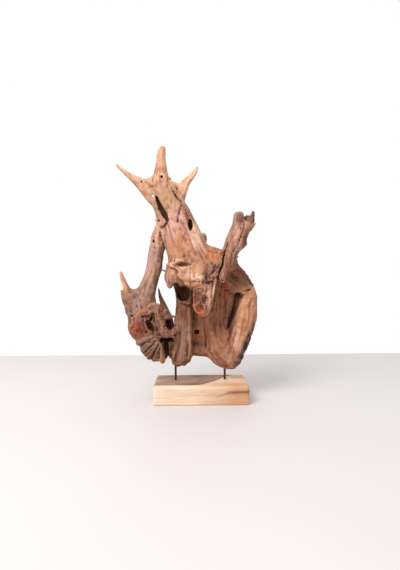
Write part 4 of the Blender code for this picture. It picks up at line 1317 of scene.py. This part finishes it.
def sanded_teak():
    """Planed and sanded teak, pale sapwood with a heartwood band along the back."""
    made, tree, shader = new_material("sanded teak")
    rings = node(tree, "ShaderNodeAttribute", {"attribute_name": "rings"}).outputs["Vector"]
    ripe, heart, stain = (
        node(tree, "ShaderNodeAttribute", {"attribute_name": name}).outputs["Fac"]
        for name in ("ripe", "heart", "stain"))
    # Growth lines about 3 mm apart and 200 mm long, fibres 0.7 mm wide and 20 mm long, and
    # clouds of paler wood about 18 mm wide and 60 mm long
    patterns = []
    for length, width, detail, harsh, twist in (
            (200, 6, 3.0, 0.6, 0.4), (20, 0.7, 2.0, 0.5, 0.0), (60, 18, 3.0, 0.5, 0.0)):
        place = node(tree, "ShaderNodeMapping", Vector=rings,
                     Scale=(1 / length, 1 / width, 1 / width)).outputs[0]
        patterns.append(node(tree, "ShaderNodeTexNoise", Vector=place, Scale=1.0, Detail=detail,
                             Roughness=harsh, Distortion=twist).outputs[0])
    growth, fibre, cloud = patterns
    sapwood = layered(tree, "#DBC1A4", [("MIX", (cloud, 0.35, 0.65, 1.0), "#E5CDB6"),
                                        ("MIX", ripe, "#C39570")])
    heartwood = layered(tree, "#94705E", [("MIX", (cloud, 0.35, 0.65, 1.0), "#B38B78"),
                                          ("MULTIPLY", (ripe, 0.0, 0.12, 1.0), "#CAB4A0")])
    colour = layered(tree, sapwood, [
        ("MIX", heart, heartwood),
        ("MULTIPLY", (growth, 0.5, 0.34, 0.35), "#CDA68C"),
        ("MULTIPLY", (growth, 0.56, 0.62, 0.2), "#D2AE96"),
        ("MULTIPLY", (fibre, 0.5, 0.3, 0.25), "#D2B29C"),
        ("MULTIPLY", stain, "#6A3E2C"),
    ])
    tree.links.new(colour, shader.inputs["Base Color"])
    shader.inputs["Roughness"].default_value = 0.6
    shader.inputs["Specular IOR Level"].default_value = 0.3
    bump = node(tree, "ShaderNodeBump", Height=fibre, Strength=0.3, Distance=0.0003).outputs[0]
    tree.links.new(bump, shader.inputs["Normal"])
    return made


def blackened_steel():
    """Round bar with its dark rolling skin, a little browned."""
    made, tree, shader = new_material("blackened steel")
    place = node(tree, "ShaderNodeTexCoord").outputs["Object"]
    scale = node(tree, "ShaderNodeTexNoise", Vector=place, Scale=1 / 0.004, Detail=4.0).outputs[0]
    ramp = node(tree, "ShaderNodeValToRGB", Fac=scale)
    ramp.color_ramp.elements[0].color = (*linear("#2E2A2A"), 1.0)
    ramp.color_ramp.elements[1].color = (*linear("#4A423F"), 1.0)
    tree.links.new(ramp.outputs[0], shader.inputs["Base Color"])
    shader.inputs["Metallic"].default_value = 0.8
    shader.inputs["Roughness"].default_value = 0.5
    return made


def pale_table():
    """White laminate table."""
    made, tree, shader = new_material("pale table")
    place = node(tree, "ShaderNodeTexCoord").outputs["Object"]
    cloud = node(tree, "ShaderNodeTexNoise", Vector=place, Scale=3.0, Detail=2.0).outputs[0]
    ramp = node(tree, "ShaderNodeValToRGB", Fac=cloud)
    ramp.color_ramp.elements[0].color = (*linear("#C9C0C0"), 1.0)
    ramp.color_ramp.elements[1].color = (*linear("#CDC5C5"), 1.0)
    tree.links.new(ramp.outputs[0], shader.inputs["Base Color"])
    shader.inputs["Roughness"].default_value = 0.6
    return made


def finish(made, material):
    """Gives an object one material."""
    made.data.materials.clear()
    made.data.materials.append(material)


# Studio

TABLE_BACK_EDGE = 0.586
TABLE_FRONT_EDGE = -1.6
TABLE_HALF_WIDTH = 2.0
SOFT_BOX_PLACE = (-1.1, -1.3, 1.9)
SOFT_BOX_SIZE = 1.1
SOFT_BOX_WATTS = 50.0
LIT_MIDDLE = Vector((0.0, 0.0, 0.3))
CAMERA_PLACE = (-0.019, -1.12, 0.350)
# Degrees to the right, downward and about the line of sight
CAMERA_TURNS = (0.9, 2.0, -0.25)
LENS_MM = 26.0
SENSOR_MM = 36.0


def make_table():
    """Flat table top that ends behind the piece."""
    mesh = bpy.data.meshes.new("table")
    front = [(side * TABLE_HALF_WIDTH, TABLE_FRONT_EDGE, 0.0) for side in (-1, 1)]
    back = [(side * TABLE_HALF_WIDTH, TABLE_BACK_EDGE, 0.0) for side in (1, -1)]
    mesh.from_pydata(front + back, [], [(0, 1, 2, 3)])
    table = add_object("table", mesh)
    finish(table, pale_table())


def make_light():
    """White surroundings and one large soft light, high on the left."""
    world = bpy.data.worlds.new("studio")
    bpy.context.scene.world = world
    world.use_nodes = True
    backdrop = world.node_tree.nodes["Background"]
    backdrop.inputs["Color"].default_value = (1.0, 1.0, 1.0, 1.0)
    backdrop.inputs["Strength"].default_value = 1.0
    lamp = bpy.data.lights.new("soft box", "AREA")
    lamp.energy = SOFT_BOX_WATTS
    lamp.size = SOFT_BOX_SIZE
    made = bpy.data.objects.new("soft box", lamp)
    made.location = SOFT_BOX_PLACE
    aim = LIT_MIDDLE - made.location
    made.rotation_euler = aim.to_track_quat("-Z", "Y").to_euler()
    bpy.context.scene.collection.objects.link(made)
    bpy.context.scene.view_settings.view_transform = "Standard"


def make_camera():
    """Camera at the height of the root's middle, a little to the left of it."""
    lens = bpy.data.cameras.new("camera")
    lens.lens = LENS_MM
    lens.sensor_width = SENSOR_MM
    camera = bpy.data.objects.new("camera", lens)
    bpy.context.scene.collection.objects.link(camera)
    yaw, pitch, roll = (math.radians(angle) for angle in CAMERA_TURNS)
    turn = (Matrix.Rotation(-yaw, 4, "Z") @ Matrix.Rotation(math.radians(90) - pitch, 4, "X")
            @ Matrix.Rotation(roll, 4, "Z"))
    camera.rotation_euler = turn.to_euler()
    camera.location = CAMERA_PLACE
    bpy.context.scene.camera = camera


def build():
    """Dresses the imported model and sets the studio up."""
    make_camera()
    make_light()
    make_table()
    root = make_root()
    finish(root, weathered_teak())
    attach(root, "root")
    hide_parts("teak_root")
    block = make_block()
    finish(block, sanded_teak())
    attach(block, "root")
    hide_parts("base_block")
    steel = blackened_steel()
    finish(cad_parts["rod_left"], steel)
    finish(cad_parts["rod_right"], steel)


build()
